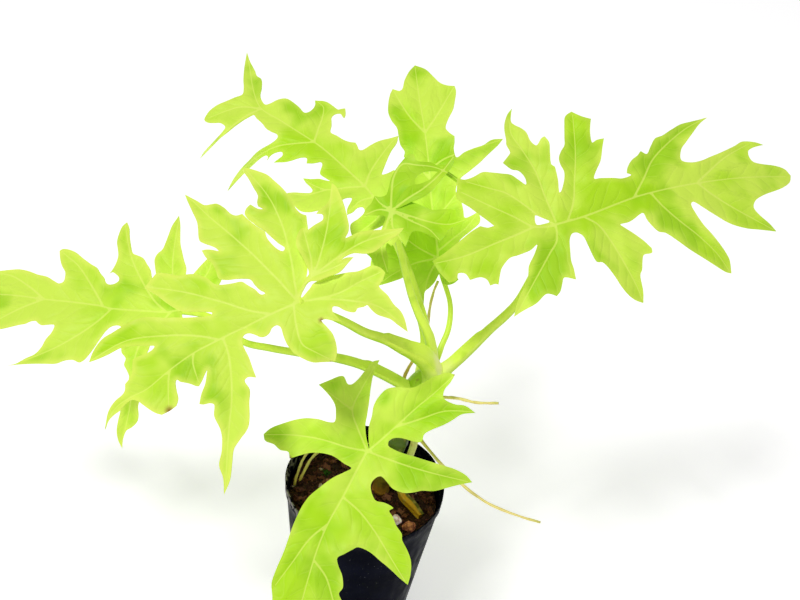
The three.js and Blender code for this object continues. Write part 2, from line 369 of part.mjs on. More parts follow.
// Delaunay triangles of a set of points, added one by one to a triangle that holds them all.
function delaunay(points) {
  const far = 4000;
  const all = [...points, [-far, -far], [far, -far], [0, far]];
  const circle = (a, b, c) => {
    const [ax, ay] = all[a];
    const [bx, by] = sub(all[b], all[a]);
    const [cx, cy] = sub(all[c], all[a]);
    const d = 2 * (bx * cy - by * cx);
    const x = (cy * (bx * bx + by * by) - by * (cx * cx + cy * cy)) / d;
    const y = (bx * (cx * cx + cy * cy) - cx * (bx * bx + by * by)) / d;
    return { corners: [a, b, c], x: ax + x, y: ay + y, reach: x * x + y * y };
  };
  let triangles = [circle(points.length, points.length + 1, points.length + 2)];
  points.forEach(([x, y], index) => {
    const edges = new Map();
    const kept = [];
    for (const triangle of triangles) {
      if ((triangle.x - x) ** 2 + (triangle.y - y) ** 2 >= triangle.reach) {
        kept.push(triangle);
        continue;
      }
      const [a, b, c] = triangle.corners;
      for (const [from, to] of [[a, b], [b, c], [c, a]]) {
        const back = `${to} ${from}`;
        if (edges.has(back)) edges.delete(back);
        else edges.set(`${from} ${to}`, [from, to]);
      }
    }
    for (const [from, to] of edges.values()) kept.push(circle(from, to, index));
    triangles = kept;
  });
  return triangles.map((t) => t.corners).filter((t) => Math.max(...t) < points.length);
}

// Triangles that fill a blade's outline, with points along its ribs and spread between them.
function fillOutline(loops, ribs) {
  let outline = loops.map((loop) => loop.map((p) => [...p]));
  const inner = [];
  const roomy = (p, edge, apart) =>
    inside(p, outline) &&
    outline.every((loop) => nearLine(p, loop, true) > edge) &&
    inner.every((q) => length(sub(p, q)) > apart);
  for (const rib of ribs) {
    for (const p of rib) if (roomy(p, RIB_TO_MARGIN, RIB_POINTS_APART)) inner.push(p);
  }
  const xs = outline[0].map((p) => p[0]);
  const ys = outline[0].map((p) => p[1]);
  const shake = 0.4; // keeps four points off one circle
  let row = 0;
  for (let y = Math.min(...ys); y < Math.max(...ys); y += (NET * Math.sqrt(3)) / 2) {
    row += 1;
    for (let x = Math.min(...xs) + ((row % 2) * NET) / 2; x < Math.max(...xs); x += NET) {
      const p = [x + shake * Math.sin(y * 7 + x), y + shake * Math.cos(x * 5 + y)];
      if (roomy(p, NET * NET_TO_MARGIN, NET * NET_APART)) inner.push(p);
    }
  }
  for (;;) {
    const points = [...outline.flat(), ...inner];
    const triangles = delaunay(points);
    const edges = new Set(triangles.flatMap(([a, b, c]) => [`${a} ${b}`, `${b} ${c}`, `${c} ${a}`]));
    let missing = 0;
    let first = 0;
    const refined = outline.map((loop) => {
      const next = [];
      loop.forEach((p, i) => {
        const j = (i + 1) % loop.length;
        next.push(p);
        if (edges.has(`${first + i} ${first + j}`) || edges.has(`${first + j} ${first + i}`)) return;
        next.push([(p[0] + loop[j][0]) / 2, (p[1] + loop[j][1]) / 2]);
        missing += 1;
      });
      first += loop.length;
      return next;
    });
    if (!missing) {
      const middle = (t) => [0, 1].map((c) => (points[t[0]][c] + points[t[1]][c] + points[t[2]][c]) / 3);
      return { points, triangles: triangles.filter((t) => inside(middle(t), outline)) };
    }
    outline = refined;
  }
}

// The leaf's own directions: along the midrib, to its left, and up from the blade.
function leafFrame(turn) {
  const [heading, pitch, roll] = turn.map(THREE.MathUtils.degToRad);
  const along = new THREE.Vector3(Math.cos(heading), Math.sin(heading), 0).multiplyScalar(Math.cos(pitch));
  along.z = Math.sin(pitch);
  const level = new THREE.Vector3(0, 0, 1).cross(along).normalize();
  const left = level.clone().multiplyScalar(Math.cos(roll));
  left.addScaledVector(new THREE.Vector3().crossVectors(along, level), Math.sin(roll));
  return { along, left, up: new THREE.Vector3().crossVectors(along, left) };
}

// How far the blade stands towards the eye at a point of the leaf's own plane. droop is how far it
// falls 100 mm out, and wave is how high its margin waves.
function bladeRise(leaf, [x, y], lift, ribDistance, edgeDistance) {
  let rise = (-leaf.droop * ((x - DROOP_CENTRE) ** 2 + y ** 2)) / 100 ** 2;
  for (const [x0, y0, x1, y1, width, drop] of leaf.bends) {
    const reach = Math.hypot(x1 - x0, y1 - y0);
    const forward = ((x - x0) * (x1 - x0) + (y - y0) * (y1 - y0)) / reach ** 2;
    const aside = ((y - y0) * (x1 - x0) - (x - x0) * (y1 - y0)) / (reach * width);
    if (forward > 0) rise -= drop * forward ** 2 * Math.exp(-(aside ** 2));
  }
  rise += PUFF * (1 - Math.exp(-ribDistance / PUFF_REACH));
  const wave = Math.sin(0.21 * x + 0.12 * y) * Math.cos(0.17 * y - 0.06 * x);
  rise += leaf.wave * wave * Math.exp(-edgeDistance / WAVE_REACH);
  return rise + lift * (1 - Math.exp(-((x / LIFT_REACH) ** 2) - (y / LIFT_REACH) ** 2));
}

// A closed mesh of a blade's sheet. below and above add to the thickness on each side.
function sheetGeometry(leaf, index, below = 0, above = 0) {
  const loops = [smoothLine(leaf.margins[index], MARGIN_STEP, true)];
  if (index === 0) loops.push(...leaf.holes.map((hole) => smoothLine(hole, MARGIN_STEP, true)));
  const ribs = leaf.ribs.map((rib) => smoothLine(rib, RIB_STEP, false));
  const { points, triangles } = fillOutline(loops, ribs);
  const { along, left } = leafFrame(leaf.turn);
  const middle = points.map((p) => {
    const rib = Math.min(...ribs.map((line) => nearLine(p, line, false)));
    const edge = Math.min(...loops.map((loop) => nearLine(p, loop, true)));
    const flat = vector(leaf.seat).addScaledVector(along, p[0] * leaf.scale);
    flat.addScaledVector(left, p[1] * leaf.scale);
    const toEye = EYE.clone().sub(flat).normalize();
    return { rib, at: flat.addScaledVector(toEye, bladeRise(leaf, p, leaf.lifts[index], rib, edge)) };
  });
  const normals = middle.map(() => new THREE.Vector3());
  for (const [a, b, c] of triangles) {
    const side = new THREE.Vector3().subVectors(middle[b].at, middle[a].at);
    const cross = side.cross(new THREE.Vector3().subVectors(middle[c].at, middle[a].at));
    for (const i of [a, b, c]) normals[i].add(cross);
  }
  const moved = (m, i, distance) => m.at.clone().addScaledVector(normals[i].normalize(), distance);
  const keel = (m) => KEEL * Math.exp(-((m.rib / KEEL_REACH) ** 2));
  const top = middle.map((m, i) => moved(m, i, BLADE / 2 + above));
  const bottom = middle.map((m, i) => moved(m, i, -BLADE / 2 - keel(m) - below));
  const count = points.length;
  const indices = [];
  const open = new Map();
  for (const [a, b, c] of triangles) {
    indices.push(a, b, c, count + a, count + c, count + b);
    for (const [from, to] of [[a, b], [b, c], [c, a]]) {
      if (open.has(`${to} ${from}`)) open.delete(`${to} ${from}`);
      else open.set(`${from} ${to}`, [from, to]);
    }
  }
  for (const [from, to] of open.values()) {
    indices.push(to, from, count + from, to, count + from, count + to);
  }
  const places = [...top, ...bottom].flatMap((v) => v.toArray());
  const geometry = new THREE.BufferGeometry();
  geometry.setAttribute("position", new THREE.Float32BufferAttribute(places, 3));
  geometry.setIndex(indices);
  return geometry;
}

// A round tube with closed ends along a curve, its radius running smoothly through radii. It is a
// cylinder bent along the curve, with frames turned as little as possible.
function tubeGeometry(route, radii, sides, steps, extra = 0) {
  const curve = new THREE.CatmullRomCurve3(route.map(vector), false, "centripetal");
  const frames = curve.computeFrenetFrames(steps, false);
  const geometry = new THREE.CylinderGeometry(1, 1, 1, sides, steps);
  const position = geometry.getAttribute("position");
  for (let i = 0; i < position.count; i += 1) {
    const t = 0.5 - position.getY(i);
    const step = Math.round(t * steps);
    const slot = Math.min(t * (radii.length - 1), radii.length - 1.001);
    const low = Math.floor(slot);
    const ease = THREE.MathUtils.smoothstep(slot - low, 0, 1);
    const radius = THREE.MathUtils.lerp(radii[low], radii[low + 1], ease) + extra;
    const place = curve.getPoint(t);
    place.addScaledVector(frames.normals[step], position.getX(i) * radius);
    place.addScaledVector(frames.binormals[step], position.getZ(i) * radius);
    position.setXYZ(i, place.x, place.y, place.z);
  }
  return geometry;
}

// A closed geometry as a solid, turned right side out.
function toSolid(geometry) {
  const bare = geometry.clone();
  bare.deleteAttribute("normal");
  bare.deleteAttribute("uv");
  const merged = mergeVertices(bare, 1e-3);
  const vertProperties = new Float32Array(merged.getAttribute("position").array);
  const triVerts = new Uint32Array(merged.index.array);
  const solid = new wasm.Manifold(new wasm.Mesh({ numProp: 3, vertProperties, triVerts }));
  if (solid.volume() > 0) return solid;
  for (let i = 0; i < triVerts.length; i += 3) {
    [triVerts[i], triVerts[i + 1]] = [triVerts[i + 1], triVerts[i]];
  }
  return new wasm.Manifold(new wasm.Mesh({ numProp: 3, vertProperties, triVerts }));
}

// The largest single body of a solid, without the slivers that a cut leaves beside it.
function largestBody(solid) {
  return solid.decompose().sort((a, b) => b.volume() - a.volume())[0];
}

function toGeometry(solid) {
  const mesh = solid.getMesh();
  const geometry = new THREE.BufferGeometry();
  geometry.setAttribute("position", new THREE.Float32BufferAttribute(mesh.vertProperties, 3));
  geometry.setIndex(Array.from(mesh.triVerts));
  return geometry;
}

const plant = new THREE.Group();
function addNode(name, solid, material) {
  const mesh = new THREE.Mesh(toGeometry(solid), material);
  mesh.name = name;
  plant.add(mesh);
}

// The pot wall's outer radius at a height.
function potRadius(z) {
  return POT_BASE_RADIUS + ((POT_TOP_RADIUS - POT_BASE_RADIUS) * z) / POT_HEIGHT;
}

// The pot: a thin tapered shell with a closed floor and drain holes round its edge.
function potSolid() {
  const underRim = POT_HEIGHT - RIM_HEIGHT - RIM_STEP;
  const profile = [[0, 0], [POT_BASE_RADIUS - FOOT_CHAMFER, 0], [potRadius(FOOT_CHAMFER), FOOT_CHAMFER],
    [potRadius(underRim), underRim], [POT_TOP_RADIUS + RIM_STEP, POT_HEIGHT - RIM_HEIGHT],
    [POT_TOP_RADIUS + RIM_STEP, POT_HEIGHT], [POT_TOP_RADIUS - POT_WALL, POT_HEIGHT],
    [potRadius(POT_FLOOR) - POT_WALL, POT_FLOOR], [0, POT_FLOOR]];
  const shell = new THREE.LatheGeometry(profile.map((p) => new THREE.Vector2(...p)), POT_SEGMENTS);
  shell.rotateX(Math.PI / 2);
  let pot = toSolid(shell);
  for (let i = 0; i < DRAIN_COUNT; i += 1) {
    const angle = (i / DRAIN_COUNT) * Math.PI * 2;
    const drill = new THREE.CylinderGeometry(DRAIN_RADIUS, DRAIN_RADIUS, 20, 12);
    drill.rotateX(Math.PI / 2);
    drill.translate(DRAIN_CIRCLE * Math.cos(angle), DRAIN_CIRCLE * Math.sin(angle), 0);
    pot = pot.subtract(toSolid(drill));
  }
  return pot;
}

// The soil: it fills the pot to a rough surface, and what stands in it has a plain hole.
function soilSolid(standing) {
  const inner = (z) => potRadius(z) - POT_WALL - GAP;
  const floor = POT_FLOOR + GAP;
  const edge = SOIL_LEVEL - SOIL_EDGE_DROP;
  const rim = inner(edge) - GAP;
  const profile = [[0, floor], [inner(floor), floor], [rim, edge]];
  const rings = 9;
  for (let k = rings - 1; k >= 0; k -= 1) profile.push([(rim * k) / rings, SOIL_LEVEL]);
  const fill = new THREE.LatheGeometry(profile.map((p) => new THREE.Vector2(...p)), 30);
  fill.rotateX(Math.PI / 2);
  const position = fill.getAttribute("position");
  for (let i = 0; i < position.count; i += 1) {
    if (position.getZ(i) < SOIL_LEVEL - 1) continue;
    const [x, y] = [position.getX(i), position.getY(i)];
    const lump = Math.sin(0.31 * x + 1) * Math.cos(0.27 * y) + 0.6 * Math.sin(0.73 * x - 0.61 * y);
    position.setZ(i, SOIL_LEVEL + SOIL_ROUGHNESS * lump);
  }
  return standing.reduce((soil, piece) => soil.subtract(piece), toSolid(fill));
}

// A knobbly chip. size holds its half width, depth and height.
function chipGeometry({ centre, size }, extra = 0) {
  const chip = new THREE.IcosahedronGeometry(1, 1);
  const position = chip.getAttribute("position");
  for (let i = 0; i < position.count; i += 1) {
    const [x, y, z] = [position.getX(i), position.getY(i), position.getZ(i)];
    const knobbly = 1 + 0.12 * Math.sin(4 * x + 2 * z) * Math.cos(5 * y + centre[0]);
    const place = [x, y, z].map((share, c) => centre[c] + share * (size[c] * knobbly + extra));
    position.setXYZ(i, ...place);
  }
  return chip;
}

// Blades, and for each a thick shape that its stalk is cut back by.
const clearOfBlade = {};
for (const [name, leaf] of Object.entries(LEAVES)) {
  const sheets = leaf.margins.map((_, index) => toSolid(sheetGeometry(leaf, index)));
  const blade = largestBody(sheets.reduce((a, b) => a.add(b)));
  const thick = leaf.margins.map((_, index) => toSolid(sheetGeometry(leaf, index, GAP, STALK_CLEARANCE)));
  clearOfBlade[name] = thick.reduce((a, b) => a.add(b));
  addNode(name, blade, matte(0xa6dc28, 0.55));
}

// Stem, stalks and roots, each cut back by what stands before it.
const stemTube = (extra) => toSolid(tubeGeometry(STEM.route, STEM.radii, 14, 16, extra));
const taken = [stemTube(GAP)]; // what the next stalk or root is cut back by
addNode("stem", stemTube(0), matte(0x9fb84a, 0.6));
for (const [name, stalk] of Object.entries(STALKS)) {
  const tube = (extra) => toSolid(tubeGeometry(stalk.route, stalk.radii, 9, 16, extra));
  const free = tube(0).subtract(clearOfBlade[stalk.leaf]);
  const cut = taken.reduce((solid, piece) => solid.subtract(piece), free);
  addNode(name, largestBody(cut), matte(0xa9cc3f, 0.5));
  taken.push(tube(GAP));
}
const inSoil = [stemTube(GAP)];
for (const [name, root] of Object.entries(ROOTS)) {
  const tube = (extra) => toSolid(tubeGeometry(root.route, root.radii, 6, 14, extra));
  const cut = taken.reduce((solid, piece) => solid.subtract(piece), tube(0));
  addNode(name, largestBody(cut), matte(0xc9c96a, 0.6));
  taken.push(tube(GAP));
  inSoil.push(tube(GAP));
}

// What lies on the soil, half sunk in it.
const witheredTube = (extra) =>
  toSolid(tubeGeometry(WITHERED_STALK.route, WITHERED_STALK.radii, 8, 20, extra));
const withered = taken.reduce((solid, piece) => solid.subtract(piece), witheredTube(0));
addNode("withered_stalk", largestBody(withered), matte(0xb58a3a, 0.8));
inSoil.push(witheredTube(GAP));
for (const [name, chip] of Object.entries(CHIPS)) {
  addNode(name, toSolid(chipGeometry(chip)), matte(chip.color, 0.95));
  inSoil.push(toSolid(chipGeometry(chip, GAP)));
}

addNode("nursery_pot", potSolid(), matte(0x0b0d1a, 0.45));
addNode("soil", largestBody(soilSolid(inSoil)), matte(0x3a1f16, 0.95));

export default plant;
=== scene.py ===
# A potted golden lacy tree philodendron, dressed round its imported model. Metres, +Z up.
import math
import random

import bpy
import numpy as np
from mathutils import Matrix, Vector, noise
from mathutils.geometry import delaunay_2d_cdt


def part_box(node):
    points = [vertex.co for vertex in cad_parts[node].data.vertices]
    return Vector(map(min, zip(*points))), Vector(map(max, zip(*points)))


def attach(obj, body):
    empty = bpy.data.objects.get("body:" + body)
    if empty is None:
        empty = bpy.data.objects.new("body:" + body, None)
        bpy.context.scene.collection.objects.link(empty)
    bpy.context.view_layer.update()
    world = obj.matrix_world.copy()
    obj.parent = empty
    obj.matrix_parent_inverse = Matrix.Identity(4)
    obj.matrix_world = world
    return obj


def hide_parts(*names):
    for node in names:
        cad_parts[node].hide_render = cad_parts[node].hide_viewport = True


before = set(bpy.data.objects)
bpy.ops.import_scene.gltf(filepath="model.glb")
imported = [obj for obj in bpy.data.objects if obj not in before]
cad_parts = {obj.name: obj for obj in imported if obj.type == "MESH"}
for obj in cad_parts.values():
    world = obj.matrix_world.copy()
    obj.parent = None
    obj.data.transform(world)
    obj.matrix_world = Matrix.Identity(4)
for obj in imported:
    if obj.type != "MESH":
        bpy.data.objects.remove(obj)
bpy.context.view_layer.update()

MM = 0.001
BODY = "root"

# The camera of the photograph. Its place is in millimetres from the middle of the pot's underside.
CAMERA_PLACE = (7.55, -669.86, 844.07)
CAMERA_PITCH = 37.5  # degrees below the horizon
CAMERA_ROLL = 8
CAMERA_LENS = 54

# The blades curl along the lines to this point in front, in millimetres.
EYE = np.array([8, -670, 844])
BLADE = 0.5  # thickness of a blade, mm
PUFF = 2.4  # how far a blade swells between its ribs, mm
PUFF_REACH = 7  # from a rib, mm
FOLD = 2  # how much more a lobe's halves fold up from its rib, mm
FOLD_REACH = 14
RUFFLE = 0.6  # small uneven waves all over a blade, mm
RUFFLE_REACH = 10
WAVE_REACH = 9  # how far in from the margin its waves run, mm
DROOP_CENTRE = 25  # where along the midrib a blade stands highest, mm
LIFT_REACH = 22  # from the seat to where a second sheet stands clear of the first, mm
KEEL = 1.5  # how far the thickest rib stands out under the blade, mm
RIDGE = 0.35  # how far it stands out above, mm
NET = 1.7  # spacing of the points inside a blade, mm
MARGIN_STEP = 1.5
RIB_STEP = 1.5

POT_TAPER = 0.746  # the foot's radius as a share of the rim's
POT_LIP = 7.5  # height of the soft rim, mm
POT_WALL = 1.1
DRAIN_HOLES = 6
DRAIN_RADIUS = 4.5
DRAIN_RING = 36  # from the pot's middle to the middle of a hole, mm

SOIL_TOP = 128  # mm
SOIL_TO_WALL = 1.9  # from the pot's outside to the mix, mm
FLAKES = 950
FLAKE_SIZES = (2.2, 7.7)
CLEAR_SPOTS = [  # what stands in or lies on the mix: its place and the room round it, in mm
    (28, -22, 5), (39.3, -26.5, 6), (12.7, 9.9, 7), (33, 0, 4), (38, -5, 5), (43, -10, 5),
    (48, -14, 4),
]
WHITE_CHIP = (-37.1, 21.5, 3.2)  # its place on the mix, and its size
MOSS_CUSHIONS = [(5, 0, 3.2, 150), (8, -5, 2, 60), (-32.5, 18.5, 3, 90)]  # place, spread, leaves

# The lamps: place in metres, size in metres, watts.
LAMPS = {"key": ((-1.0, -1.0, 3.2), 0.7, 58), "fill": ((1.8, -1.4, 1.2), 1.4, 3)}
LAMP_AIM = (0, 0, 0.3)
ROOM_LIGHT = 0.31
FLOOR_GLOW = 0.5
PALE_FLOOR = (0.93, 0.92, 0.93, 1)

# Each leaf lies in its own frame, in mm: x runs along the midrib from the seat, where the stalk
# meets the blade, and y to its left. turn is the midrib's heading and pitch and the blade's roll,
# in degrees. A point marked ^ is a sharp tip or tooth, and the margin runs smoothly through the
# others. bends gives a base and a tip for each lobe that hangs, a width, and its drop at the tip.
LEAVES = {
  "golden_leaf_right": {
    "seat": [108, 40, 387], "turn": [26, 3, 33], "scale": 1, "droop": 4, "wave": 1.6, "lifts": [0],
    "bends": [[70, 5, 195, 0, 60, 14], [15, 40, -5, 90, 22, 14], [30, -30, 45, -70, 24, 10],
      [-30, -30, -52, -61, 22, 14], [95, -30, 121, -62, 24, 10]],
    "margins": ["""
      200,3^ 197,9 190,13 180,16 173,19 171,23 172,28 176,30 182,30.8 187,31^ 180,34.5 170,36.5 162,34
      150,31 140,29 130,27 121,27 114,30 117,38 123,43 132,50 140,56 148,60^ 135,59 124,58 115,55
      106,51.5 99,50 93,44 88,39 84,42^ 80,39 74,36 69,31 67,27^ 70,25 62,23.5 55,25 45,26.5 40,27
      44,33 50,40 55,50 58.5,56.5^ 52,56 48,54.5 49,62 52,70 53.5,73^ 47,76 40,81^ 34,78 31,71 28,62
      26,56 22,52 18.5,47 18,42 19,36 17,30 12,22 10,21 12,30 13,38 13,41 11,43 13,52 15,60 13,65^
      10,64 6,60 4,59 1,63 0,70 -3,74 -7,77 -9,80 -7,86 -5,90^ -10,86 -14,80 -16,74 -17,67 -18,63
      -17,57 -20,54 -25,50^ -20,44 -15,42 -12,36 -13,31 -17,35 -22,40 -28,42 -35,44 -42,45.5 -50,43
      -57,42 -62,44^ -65,35 -67,31 -65,27 -59,21 -55,16 -49,9 -46,5^ -51,4.5 -56,6.5^ -63,4 -73,-1
      -85,-7 -97,-12^ -95,-20 -90,-29^ -84,-28 -82,-24 -77,-25 -75,-30^ -67,-29.5 -63,-32 -62,-36.5^
      -58,-36 -56,-37^ -53,-31 -50,-26 -42,-20 -35,-19 -25,-17 -19,-14 -23,-20 -30,-28 -33,-35
      -38,-42 -45,-50 -52,-61^ -43,-58 -33,-55 -24,-50 -20,-51 -17,-53^ -13,-50 -10,-45 -7,-41 1,-44^
      2,-36 2,-30 4,-22 6,-15 9,-11 13,-10.5 17,-14 18.5,-22 19.5,-30 21,-34.5 25,-35.5 28,-40
      31,-48 33,-55 36,-62 40,-67 45,-70^ 48,-62 50,-50 53,-46 55,-41 58,-36 65,-35.5 66,-32^ 62,-26
      56,-19 50,-13 48,-10.5 55,-10 61,-8 65,-6 69,-5 70,-10 72,-15 76,-21 81,-23 88,-30 95,-38
      103,-46 110,-53 117,-60 121,-62^ 123,-55 123.5,-50 121,-40 117,-30 113,-22 110,-12 109,-5
      112,-3.5 118,-9 125,-16 135,-25 147,-31 158,-34 170,-37.5^ 167,-31 161,-22 159,-16 163,-11
      172,-8 182,-6.5 190,-5 197,-2"""],
    "holes": ["-15,0.5 -13.5,7.5 -9,4.5 -4,0.8 -9,0"],
    "ribs": ["0,-2 22,0 66,7.5 90,9.5 120,10 160,8 195,3",
      "0,0 -2,20 -3,40 -8,58 -12,72 -7,86", "9,-1 18,12 24,27 31,45 36,62 40,78",
      "66,8 78,20 90,33 105,43 125,53 146,60", "121,11 150,26 172,33",
      "120,10 128,0 140,-12 155,-25 168,-36", "80,8.5 86,-3 95,-16 106,-30 115,-45 120,-60",
      "22,0 31,-8 36,-20 40,-35 44,-55 45,-68", "-1,-2 -10,5 -20,17 -30,27 -42,33 -56,40",
      "-1,-3 -17,-1 -30,9 -45,20 -62,33", "-17,-1 -30,-4 -50,-8 -75,-13 -95,-14",
      "-1,-4 -4,-14 -12,-22 -22,-32 -35,-45 -50,-60"],
  },
  "golden_leaf_back": {
    "seat": [-21, 60, 373], "turn": [143, 7, -19], "scale": 1, "droop": 3, "wave": 1.3, "lifts": [0],
    "bends": [[100, -4, 177, -30, 60, 16], [85, 15, 84, 66, 20, 10], [16, 8, 50, 30, 22, 14]],
    "margins": ["""
      177,-36^ 168,-31 158,-27 152,-24 147,-24 140,-18 135,-12 130,-9 125,-8 123,-12 122,-17
      120,-21 117,-23.5 110,-24 103,-23.5 97,-22.5 95,-25 95,-30 97,-34 100,-36.5^ 98,-38 95,-40.5
      91,-42 85,-42 80,-42 79,-44 77,-46.5^ 75,-45 72,-42 70.5,-39^ 73,-39.5 76,-40.3 78.5,-37 78,-33
      75,-30 72,-27 69,-23 67,-22 62,-23 56,-23.5 51,-25 47,-27.5^ 44,-26.5 40,-24.5 38,-26 37,-33
      36,-38 34,-43 31,-48 28,-54^ 24,-48 22,-41 19,-34 16,-28 13,-22 11,-19 9,-22 7.5,-28^ 0,-27
      -7,-20 -11,-10 -16,-2 -22,4 -22,14 -18,26 -14,36^ -8,32.5 -4.5,28.5 -5,21 -4,14 0,12 2.3,15 2,20
      3.5,24.5^ 7.5,20 10,14 11.5,11.5 13.5,12.5 15.5,16 15,22 17,29 22,36.5 25,41 30,44.5 36,44.5 43,43
      49.5,40^ 46,36 41,32 37,28 38,25.5 42,24.5 47,24 51,22.5^ 46,19 42,15 38,13 34.5,11 36,11
      40,11.5 44,11.5 46,10 48,7 50,4 52.5,3 54,5 56,8 59.5,11^ 61,9 63,7.5 65.5,9 67.5,12 69.5,17
      72,21 75,24 78,27^ 78,22 78,18 80,16 82,16.5 84,20 84.5,24 83,29^ 85,26 87,26 88,30 87.5,38
      86.5,48 85,58 83,68^ 87,60 90,52 92,45 93,38 94.5,30 94.5,25 93.5,18 93,12 94,8 97,6.5
      101,7.5 107,8 113,6.5 120,6 124,5 125,8 126,15 126,25 125,38 123,50 121,62^ 124,55 126,45
      128,36 130,29 132,27.5 137,28 140,31 144,34 148,34 150,31 152,25 152,17 150,10 148,3 146,-3
      150,-8 157,-14 165,-22 172,-30"""],
    "holes": [],
    "ribs": ["-12,1 0,0 12,-2.5 30,-4.5 45,-6 60,-7 70,-7 85,-6 105,-4.5 124,-3 140,-10 160,-24 175,-35",
      "12,-2.5 18,-13 23,-28 27,-45 28,-52", "12,-2.5 20,6 30,18 40,22 49,22.8", "30,18 38,32 48,39",
      "70,-7 78,2 86,12 90,22 91,40 84,66", "70,-7 77,-18 83,-28 90,-36 97,-37",
      "124,-3 127,10 127,28 122,60", "124,-3 138,8 147,31", "0,0 5,9 4.5,22",
      "-12,1 -15,14 -14,33", "-12,1 -4,-12 5,-26"],
  },
  "golden_leaf_left": {
    "seat": [-59.6, -41.4, 347.8], "turn": [-148, -26, -27], "scale": 0.952, "droop": 4, "wave": 1.8,
    "lifts": [0, 7],
    "bends": [[80, -5, 158, 5, 70, 18], [66, 25, 111, 88, 30, 20], [8, 30, 0, 52, 20, 12],
      [16, -75, 27, -115, 30, 10], [-20, -75, -20, -110, 24, 12], [-30, 15, -55, 60, 26, 16]],
    "margins": ["""
      158,5^ 153,1 148,-0.5 143,-1 137,-3 132,-3 129,0.5^ 126,8 123,14 120,17.5^ 114,18 108.5,17.5^
      105,14 103,8 101,3 99,1.5 98,4 96,6 93,9 90,13 88.5,14^ 85,12 81,9 78,7 80,10 84,15 90,20
      94.5,25^ 92,27 88,28.5 86,31 90,38 91,48 93,54 98,62 104,69 106,78 111,88^ 103,82 96,73
      90,65 84,62 75,58 70,52 65,43 60,35 60,28 57,27 55,28 52,30.5^ 51,25 49,15 48,5 46,1 43,-0.5
      40,0.5 37,4 35,7 32,8.5 28,8 25,6 21,6 19.5,9 21,15 22,22 21,30 17,38 13,43 8,46 3,49 0,50^
      -4,46 -7,40 -8.5,33 -8,27 -7,22 -7,20^ -10,21 -14,25 -18,28^ -17.5,23 -17,19 -19,16 -22,18
      -24,22 -27,26 -30,28 -33,26.5 -37,28 -40,28^ -40.5,33 -42,38 -45,42 -48,46 -50,52 -53,60^
      -56,52 -57,45 -55.5,38 -55.5,30 -54,21 -58,19 -63,15^ -62,10 -58,5.5 -52,4.5 -47,3.5 -42,1
      -36,-1.5 -26,-5 -16,-6 -13,-4.5 -4,-1.5 -4,-3 -11,-8 -14,-12 -18,-17 -21.5,-25 -24,-33 -28,-39
      -34,-43 -36,-47 -38.5,-52.5^ -36,-56 -35,-61 -35.5,-68 -35.5,-75 -34.5,-82 -33,-88 -31,-95
      -27,-101 -23,-106 -20,-109^ -18,-108 -18,-100 -17.5,-92 -17,-85 -14,-81 -13,-78^ -15,-74
      -12,-76 -9,-82^ -5,-81 -2,-78 -2,-73^ -4,-67^ -7.6,-58.6^
      -9.4,-51 -11,-45 -13,-40 -10.5,-38.5 -8,-42 -6.6,-48 -6.2,-53.5 -7.4,-58.4^ -3.75,-66.9^
      -1.75,-73^ -0.5,-79^ 4,-80.5 6.5,-84 8,-90 11,-96 15,-98 19,-100 22,-106
      27,-115^ 28,-109 29,-100 30,-92 32,-87 35.5,-79 34,-75 31,-71 28.5,-67 28,-64 31,-67 35,-70
      38,-71^ 38,-65 36.5,-58 37,-52 38,-46 34,-42 28,-39 23,-36 19.5,-33 19,-28 18,-23 16,-18.5
      19,-19.5 20.5,-25 23,-30 25.5,-35 31,-37.3 38,-40.5 42.5,-44 45,-51 50,-58^ 53,-60 57,-62
      62,-64.5 66,-68.5 70,-72 73,-74 78,-72.5 82,-71 86,-69^ 84,-65 81,-59 79,-53 77,-48 74.5,-43
      71,-38.5 66,-35 60,-31 54.5,-27 56,-25.5 60,-27 66,-30.5 72,-34 78,-38 84,-41.5 90,-46
      97,-50.5 105,-52.5 113,-53 121,-53 128,-53 134,-51 140,-47.5 145,-43^ 138,-41.5 130,-40.5
      122,-40 116,-38 110,-34.5 104,-30.5 100.5,-28 103,-26.5 108,-26.5 113,-27.5 118,-28^ 120.5,-24
      123,-20 126,-17.5 131,-15.5^ 133,-12 136,-10 142,-9 147,-7 151,-4 155,1""",
    """
      -1.5,-1 -8,-6 -14,-9 -20,-6 -28,-4.5 -36,-3 -45,-5.5 -50.5,-7^ -46,-9.5 -42,-10.2 -46,-10.6
      -52,-9.5 -58,-5 -64,-2.5 -71,-3 -78,-4 -86,-4 -92,-6^ -85,-9.5 -78,-13.5 -70,-18 -63,-21
      -57,-21.8 -53,-22.5 -57,-25 -60,-29 -62,-34 -64,-40 -66,-47 -67.5,-55 -68,-59 -67,-63.5^
      -63,-59 -59,-54 -54,-51.5 -48,-51 -45,-49.5^ -48.5,-47 -48,-44.5 -46,-43 -40,-43 -34,-42.5^
      -31,-46 -27,-44.5 -23,-41 -20.5,-36 -20,-28 -19,-20 -17.5,-14 -13,-12 -8,-8.5 -1.5,-3"""],
    "holes": [],
    "ribs": ["0,0 20,-3 40,-5 60,-7 80,-8.5 100,-7 120,-4 132,-5 145,-4 157,4",
      "20,-3 32,-14 45,-30 60,-47 75,-61 84,-68", "60,-7 72,-18 90,-30 115,-42 143,-43.5",
      "57,-7 60,6 66,20 75,36 85,50 97,68 109,86", "80,-8.5 84,-2 87,11", "100,-7 106,2 113,15",
      "0,0 3,-20 8,-45 14,-68 21,-92 26,-113", "0,0 -6,-15 -13,-32 -20,-55 -23,-80 -20,-107",
      "3,-1 9,12 13,27 8,38 2,48", "0,0 -12,5 -28,10 -45,11 -60,13", "-12,5 -30,18 -46,34 -53,57",
      "-1,-2 -11,-9 -18,-11 -30,-20 -45,-35 -57,-50 -66,-62", "-18,-11 -24,-22 -28,-34 -31,-44",
      "-18,-11 -40,-13 -60,-13 -78,-9 -91,-6", "-18,-11 -35,-8 -49,-7"],
  },
  "golden_leaf_far_left": {
